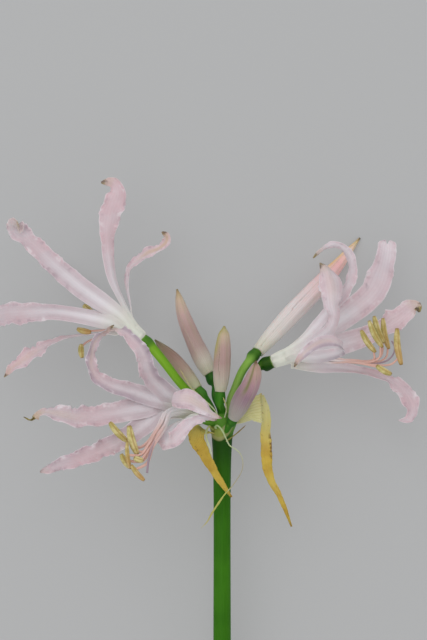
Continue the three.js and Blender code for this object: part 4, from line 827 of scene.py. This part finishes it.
scapeMake = {
    "axis": layDown["stemAxis"], "sides": 72, "stations": 220,
    "headFrom": 0.92,       # the share of the profile after which the stations stand close
    "ribs": ((5, 0.008), (17, 0.004)),      # how many around, and how high in shares of the radius
    "lumps": (3, 0.03), "lumpsFrom": (-12, -5),
    "cutCell": 0.625,       # the width of a cell in the cut face
    "profile": [[-300, 3.6], [-200, 3.55], [-100, 3.5], [-26, 3.5], [-13, 3.95], [-8, 4.5], [-5.4, 5.4],
                [-3.2, 5.4], [-1.7, 4.7], [-0.8, 3.24], [-0.6, 0.15]],
}


def scapePart(make):
    profile = through(make["profile"])
    travelled = distances(profile)
    share = np.concatenate([np.linspace(0, make["headFrom"], make["stations"] // 2),
                            np.linspace(make["headFrom"], 1, make["stations"] // 2 + 1)[1:]])
    y, radius = [np.interp(share * travelled[-1], travelled, profile[:, k]) for k in (0, 1)]
    angle = angles(make["sides"])
    ribs = 1 + sum(rise * np.cos(count * angle) for count, rise in make["ribs"])
    count, rise = make["lumps"]
    lumps = 1 + rise * step(y, *make["lumpsFrom"])[:, None] * np.cos(count * angle + 1.2)
    rows = radius[:, None] * ribs * lumps
    return tubePart(straight([make["axis"], 0, 0], [0, 1.0, 0], y, [0, 0, 1.0]), rows, endSkin=1,
                    along=y[:, None], across=np.sin(angle) * rows, front=np.cos(angle) * rows)


def scapeSkin():
    skin = Skin("scapeSkin")
    along, across, front = skin.values("along across front")
    streaks = skin.noise(9, 3, skin.grid(across * 0.012, along * 0.0009, front * 0.012))
    skin.colour = skin.blend(streaks, "#295f06", "#35720a")
    skin.coat(skin.noise(26, 2).rise(0.4, 0.7) * 0.5, "#478814")
    skin.coat(along.rise(-34, -12), "#1f4c0a")
    skin.coat(along.rise(-11, -7), "#5a8c30")
    # a pale scar runs in a bow under the valves, and the green is darker below it
    bow = along + 10.6 - (across + 1.2) ** 2 * 0.17
    patch = bow.rise(-0.8, 0.4) * bow.fall(3, 5) * across.fall(-0.5, 2.5) * front.rise(0.2, 1.2)
    skin.coat(patch * 0.8, "#a6ac58")
    scar = abs(bow).fall(0.4, 1.2) * front.rise(0.2, 1.2)
    skin.coat(scar * (0.3 + skin.noise(2.5, 2) * 0.8), "#a9a672")
    ray = abs(along + 7 - across * 0.9).fall(0.4, 1.3) * across.rise(-0.6, 0.4)
    skin.coat(ray * front.rise(0.2, 1.2) * 0.8, "#a6ac78")
    fine = skin.noise(0.9, 2)
    relief = skin.bump(streaks, 0.25, skin.bump(fine, 0.04))
    return skin.finish(0.4 + fine * 0.12, relief, subsurface=0.08, radius=(0.4, 1, 0.2), specular=0.12)


def cutSkin():
    skin = Skin("scapeCutFace")
    cells = skin.add("ShaderNodeTexVoronoi", {"feature": "F1"}, {
        "Vector": skin.place(), "Scale": 1000 / scapeMake["cutCell"]}, "Distance")
    skin.colour = skin.ramp(cells, [(0.0, "#6f8a3c"), (0.3, "#a9bd78"), (0.8, "#c9d49c")])
    return skin.finish(0.35, skin.bump(cells, 0.15), subsurface=0.2)


makePiece("scapeAndReceptacle", [scapePart(scapeMake)], [scapeSkin(), cutSkin()], "scape")
print("scape made")


# Pedicels, each with its ovary

def rootAt(bearing, ring=3.65):
    angle = math.radians(bearing)
    return [scapeMake["axis"] + ring * math.cos(angle), -3, ring * math.sin(angle)]


pedicelMake = {"thin": 1.4, "thick": 1.6, "ovary": 2.5, "ovaryLength": 5, "gap": 0.1, "neck": 0.86,
               "stations": 56, "sides": 28, "ovaryLobes": 0.07, "flatness": 0.03}
pedicels = {
    "upper_left": {
        "path": [rootAt(165), [-5.4, 1.6, 2], [-11.2, 6.4, 3], [-16.2, 11.6, 3.4], [-23, 20.4, 3.8]],
        "thin": 1.5, "thick": 2, "shades": ("#6d9c22", "#7fb32c", "#487c28")},
    "lower_left": {
        "path": [[0, -3.8, 2], [-3.8, -4.2, 4.2]], "ovaryLength": 4,
        "shades": ("#4c7f24", "#5f9230", "#5f8a3a")},
    "right": {
        "path": [rootAt(12), [7.4, 6.6, 0.4], [12.4, 14.4, -0.4]], "ovary": 2.9,
        "shades": ("#356c1c", "#255a12", "#1a4404")},
    "opening": {
        "path": [rootAt(320), [3.6, 4, -2.2], [5.6, 9.4, -2.7], [8.4, 16, -3]], "thin": 1.5, "thick": 1.8,
        "shades": ("#aace70", "#90c056", "#26600e")},
    "tall": {
        "path": [rootAt(265), [-0.3, 1, -4.6], [-2.3, 6, -5.9]],
        "shades": ("#2e6a1c", "#2c6a20", "#235c1e")},
    "middle": {
        "path": [[scapeMake["axis"], -3, 0], [0.4, 0.6, 0.6]], "thin": 1.5, "thick": 1.7, "ovary": 2.2,
        "shades": ("#3f7f20", "#4a8a2a", "#38781f")},
    "leaning": {
        "path": [rootAt(214), [-3.6, 0.8, -2.1]], "ovaryLength": 4, "ovary": 2.2,
        "shades": ("#3a7a20", "#3f7f26", "#4c8330")},
    "front": {
        "path": [[1.8, -7.4, 3], [3.1, -5.4, 4.8]], "ovaryLength": 2.4, "ovary": 2.1,
        "shades": ("#3f7f20", "#3c7824", "#356e22")},
}
# where each pedicel ends, and in which direction
heads = {side: (bloom["base"], bloom["axis"]) for side, bloom in blooms.items()}
for name, shape in buds.items():
    heads[name] = shape["path"][0], np.subtract(shape["path"][1], shape["path"][0])


def pedicelPart(shape, first, axis):
    first, axis, length = np.array(first, float), unit(axis), shape["ovaryLength"]
    end = first - axis * shape["gap"]
    route = shape["path"] + [end - axis * length, end - axis * length / 2, end]
    course, t, whole = winding(route, shape["stations"], [0.2, 0.1, 1])
    toEnd = (1 - t) * whole
    ovary = step(length + 1 - toEnd, 0, length * 0.6)
    neck = step(length - toEnd, length * 0.5, length)
    radius = mix(mix(shape["thin"], shape["thick"], t), shape["ovary"], ovary) * mix(1, shape["neck"], neck)
    angle = angles(shape["sides"])
    lobes = (1 + shape["ovaryLobes"] * ovary * np.cos(3 * angle)
             + shape["flatness"] * (1 - ovary) * np.cos(2 * angle))
    return tubePart(course, radius * lobes, along=t, across=np.sin(angle), ovary=ovary)


def pedicelSkin(name, shades):
    skin = Skin(name)
    along, ovary, across = skin.values("along ovary across")
    low, high, seedCaseAndShade = shades
    streaks = skin.noise(8, 3, skin.grid(across * 0.006, along * 0.01, 0.3))
    skin.colour = skin.blend(along.rise(0.1, 0.7), low, high)
    skin.coat(ovary * 0.9, seedCaseAndShade)
    # painted shade: one side of each stalk is darker, in the ovary's dark green
    skin.coat(across.rise(0.1, 0.9) * 0.4, seedCaseAndShade)
    skin.coat(streaks.rise(0.45, 0.7) * (0.4 - ovary * 0.3), "#a4c85a")
    skin.coat(along.rise(0.985, 1) * 0.5, "#9ab866")
    fine = skin.noise(0.8, 2)
    return skin.finish(0.38 + fine * 0.12, skin.bump(streaks, 0.2, skin.bump(fine, 0.04)),
                       subsurface=0.12, radius=(0.5, 1, 0.3), specular=0.1)


for name, shape in pedicels.items():
    makePiece("pedicelAndOvary_" + name, [pedicelPart({**pedicelMake, **shape}, *heads[name])],
              [pedicelSkin("pedicelSkin_" + name, shape["shades"])], "pedicel_" + name)
print("pedicels made")


# Withered spathe valves

spathes = {
    "left": {
        "seed": 3, "stations": 90, "across": 13, "cup": -0.12, "crinkle": 0.3, "tone": [0.85, 1, 1, 1],
        "widths": [3, 6.4, 6.4, 4.9, 3.9, 3, 2.2, 0.7],
        "facing": [[0, 1, 0.1], [-0.2, 0.8, 0.6], [0, 0.2, 1], [0, 0, 1], [0, 0, 1], [0.1, 0, 1]],
        "path": [[-3.2, -8.4, 2.4], [-6.4, -7.2, 4.2], [-9.4, -6.6, 5.6], [-10, -9.4, 6.8],
        [-7.8, -14.2, 7.4], [-4.7, -20, 7.5], [-0.6, -26.8, 7.6], [4.2, -33.6, 7.6]]},
    "fan": {
        "seed": 5, "stations": 60, "across": 17, "cup": -0.05, "crinkle": 0.2, "tone": [0, 0.05, 0.1, 0.2],
        "widths": [1.4, 3.4, 7, 10, 11.6],
        "facing": [[-0.2, 0.4, 1], [0, 0.1, 1]],
        "path": [[3.8, -5, 2.6], [7, -3, 3.6], [10.7, 0.1, 4.4], [14.2, 1.3, 5], [17, 1.7, 5]]},
    "tail": {
        "seed": 8, "stations": 100, "across": 13, "cup": -0.2, "crinkle": 0.3,
        "tone": [0.2, 0.5, 0.85, 1, 0.9, 1, 1], "widths": [1.4, 3.4, 3.9, 4.4, 4.2, 3, 2.2, 1.6, 0.6],
        "facing": [[0, 0, 1]],
        "path": [[16.4, 6.9, 5], [17.4, 2.9, 5.2], [18, -1.4, 5.4], [17.7, -7.8, 5.6], [18.1, -14.6, 5.6],
        [18.3, -20.5, 5.4], [19.7, -26.5, 5.2], [22.9, -32.5, 5], [25.9, -39.5, 4.4], [28.1, -45.6, 3.6]]},
}
spatheMake = {"thickness": 0.3, "thinning": 0.5, "tearDepth": 0.05, "rollHeight": 0.16, "pleatHeight": 0.05}


def spathePart(shape, make):
    places, tangents, length = evenRun(shape["path"], shape["stations"])
    t = shares(shape["stations"])
    normals = squareTo(tangents, turning(shape["facing"], t[:, 0]))
    s = np.linspace(-1, 1, shape["across"])
    seed, size, way = shape["seed"], abs(s), t * length
    torn = (np.sin(way * 0.9 + seed + 2.1 * np.sign(s)) + 0.6 * np.sin(way * 2.3 + 2 * seed)
            + 0.4 * np.sin(way * 4.1 * np.sign(s) + seed))
    half = levels(shape["widths"], t) / 2 * (1 + make["tearDepth"] * torn)
    height = half * size * shape["cup"] + shape["crinkle"] * np.sin(t * 19 + s) * size
    height = height + make["rollHeight"] * np.sin(way * 1.3 + 3 * s + seed) * size ** 2
    height = height + make["pleatHeight"] * np.sin(s * 7 + seed + t * 5) * step(half, 0.6, 2)
    thickness = make["thickness"] * mix(1, make["thinning"], size ** 2)
    return sheetPart(blade((places, normals, tangents), half * s, height), thickness,
                     along=t, across=s, tone=levels(shape["tone"], t), seed=seed)


def spatheSkin():
    skin = Skin("spatheParchment")
    along, across, tone, seed = skin.values("along across tone seed")
    flow = skin.noise(12, 2, skin.grid(across * 0.01, along * 0.02, seed))
    veins = (across * 30 + flow * 5).sine() * 0.5 + 0.5
    pale = skin.blend(veins.rise(0.3, 0.9) * 0.6, "#e0dfae", "#cfcb8e")
    patch = skin.noise(6)
    golden = skin.blend(patch.rise(0.35, 0.65), "#d6b84a", "#c4a038")
    golden = skin.blend(veins.rise(0.4, 1) * 0.3, golden, "#e0ca78")
    golden = skin.blend(along.fall(0.2, 0.4) * 0.6, golden, "#c9bd62")
    skin.colour = skin.blend(tone, pale, golden)
    spots = skin.noise(1.5, 2).rise(0.62, 0.7) * abs(across).rise(0.3, 0.8)
    skin.coat(spots * 0.6, "#7a5522")
    scorched = seed.rise(6, 7) * along.rise(0.27, 0.31) * along.fall(0.43, 0.48)
    flecks = across.rise(0.4, 0.8) * skin.noise(1.3, 2).rise(0.4, 0.55)
    skin.coat(scorched * flecks * 0.8, "#6b481c")
    skin.coat(along.rise(0.93, 1) * 0.6, "#8f6a2c")
    relief = skin.bump(veins, 0.07, skin.bump(skin.noise(1.6, 2), 0.06))
    return skin.finish(0.62, relief, subsurface=0.35, radius=(1, 0.75, 0.35), depth=0.8,
                       specular=0.25)


parchment = spatheSkin()
valves = (("left", ["left"], "golden_spathe"), ("right", ["fan", "tail"], "pale_spathe"))
for side, lobes, slot in valves:
    makePiece("spatheValve_" + side, [spathePart(spathes[lobe], spatheMake) for lobe in lobes], [parchment],
              "spathe_" + side)
print("spathe valves made")


# Bracteoles

bracteoleMake = {"radius": 0.3, "stations": 70, "sides": 10, "knots": ((0.12, 1.1), (0.1, 2.7)),
                 "tipThinning": 0.75}
bracteoles = {
    "long": [[-1.8, -6.4, 4], [-2.3, -6, 5.8], [-1.6, -5.1, 7.4], [0.2, -6.7, 8.4], [2, -10.3, 8.6],
        [3.4, -13, 8.6], [5.9, -14.6, 8.8], [7.9, -16.8, 9], [8.7, -20.4, 9], [8.1, -23.5, 9],
        [6.3, -26.5, 9.2], [4.1, -29.5, 9.6], [1.6, -32.2, 9.6], [-1.2, -36.2, 9], [-3.6, -39.9, 8.4],
        [-5.6, -43.5, 8], [-8, -46.1, 7.4]],
    "short": [[-3, -7, 3.8], [-4, -6.2, 6.2], [-4.6, -5.3, 8], [-5.8, -7.3, 8.4], [-5.8, -10.1, 8.8],
        [-4.6, -13.6, 8.9], [-3.6, -17.2, 8.6]],
    "brown": [[2, -11.6, 3.4], [3.6, -10.4, 5], [6.4, -8.2, 6], [9.9, -5, 6.6]],
    "curled": [[-0.8, -2.4, 4.4], [-2.6, 1, 5.4], [-6, 4.4, 5.8], [-9.6, 7.7, 5.8], [-11.8, 9.7, 5.7],
        [-13.4, 12.1, 5.6], [-15.1, 15.1, 5.6], [-16.7, 17.7, 5.6]],
    "upright": [[1.4, -2.2, 4.4], [2.1, 0.6, 5.3], [1.9, 3, 5.8], [0.8, 6.1, 6.4]],
}
usualGirth = [1.15, 0.8]
girths = {"long": [1.4, 1.4, 1.1, 0.8, 0.7, 0.75, 1.1, 1.6, 1.4, 0.8], "short": [1.2, 1, 1.5, 1.5, 1]}


def bracteolePart(path, girth, make):
    course, t, length = winding(path, make["stations"], [0.3, 0, 1])
    knots = 1 + sum(rise * np.sin(t * length * pace + i) for i, (rise, pace) in enumerate(make["knots"]))
    radius = make["radius"] * levels(girth, t) * (1 - make["tipThinning"] * step(t, 0.9, 1)) * knots
    return tubePart(course, radius * (0.8 + 0.2 * np.cos(angles(make["sides"])) ** 2), along=t)


def bracteoleSkin(name, stops):
    skin = Skin(name)
    skin.colour = skin.ramp(skin.value("along") + (skin.noise(3, 2) - 0.5) * 0.2, stops)
    return skin.finish(0.6, skin.bump(skin.noise(0.7, 2), 0.08), subsurface=0.3,
                       radius=(1, 0.9, 0.5), depth=0.7, specular=0.25)


paleThread = bracteoleSkin("bracteolePale", [(0.2, "#c3cda0"), (0.9, "#c6b983")])
threads = {
    "long": bracteoleSkin("bracteoleLong", [(0, "#a9c088"), (0.3, "#c6d0a8"), (0.42, "#b4ac94"),
                                            (0.62, "#b3ab8e"), (0.7, "#bcc060"), (1, "#c4b66e")]),
    "short": bracteoleSkin("bracteoleShort", [(0.3, "#a3a95a"), (0.75, "#d3d8bc")]),
    "brown": bracteoleSkin("bracteoleBrown", [(0.2, "#8c8a44"), (0.9, "#8a6f3a")]),
}
for name, path in bracteoles.items():
    makePiece("bracteoleThread_" + name, [bracteolePart(path, girths.get(name, usualGirth), bracteoleMake)],
              [threads.get(name, paleThread)], "bracteole_" + name)
print("bracteoles made")


# Table, light and camera

studio = {
    "tableSize": 7.0, "tableTones": ("#a2a3a4", "#a3a4a5"), "tableGlow": (0.135, 0.133, 0.132, 1),
    "skyTone": (0.80, 0.81, 0.815, 1), "skyStrength": 0.8,
    "panelSize": 1.9, "panelPower": 11, "panelPlace": (-0.5, 0.6, 1.9), "panelAim": (0, 0.1, 0),
    "cameraDistance": 1200, "cameraAim": (-3, 36.8), "viewHeight": 256, "sensorHeight": 24, "sightEnd": 20,
}
scene = bpy.context.scene


def tableSkin():
    skin = Skin("tableTop")
    grain = skin.noise(0.7, 3)
    skin.colour = skin.blend(skin.noise(260, 2), *studio["tableTones"])
    return skin.finish(0.9, skin.bump(grain, 0.02), specular=0.1, glow=studio["tableGlow"])


tableMesh = bpy.data.meshes.new("table")
r = studio["tableSize"] / 2
tableMesh.from_pydata([(-r, -r, 0), (r, -r, 0), (r, r, 0), (-r, r, 0)], [], [(0, 1, 2, 3)])
tableMesh.materials.append(tableSkin())
newObject("table", tableMesh)

world = bpy.data.worlds.new("studioAir")
world.use_nodes = True
sky = world.node_tree.nodes["Background"].inputs
sky["Color"].default_value = studio["skyTone"]
sky["Strength"].default_value = studio["skyStrength"]
scene.world = world

lamp = bpy.data.lights.new("softPanel", "AREA")
lamp.shape = "SQUARE"
lamp.size = studio["panelSize"]
lamp.energy = studio["panelPower"]
panel = newObject("softPanel", lamp)
panel.location = studio["panelPlace"]
look = Vector(studio["panelAim"]) - Vector(studio["panelPlace"])
panel.rotation_euler = look.to_track_quat("-Z", "Y").to_euler()
panel.visible_camera = False

lens = bpy.data.cameras.new("camera")
lens.sensor_fit = "VERTICAL"
lens.sensor_height = studio["sensorHeight"]
lens.lens = lens.sensor_height * studio["cameraDistance"] / studio["viewHeight"]
lens.clip_end = studio["sightEnd"]
camera = newObject("camera", lens)
place = Vector(laid([*studio["cameraAim"], studio["cameraDistance"]]))
camera.matrix_world = Matrix.Translation(place) @ Matrix.Rotation(tilt, 4, "X")
scene.camera = camera
scene.view_settings.view_transform = "Standard"
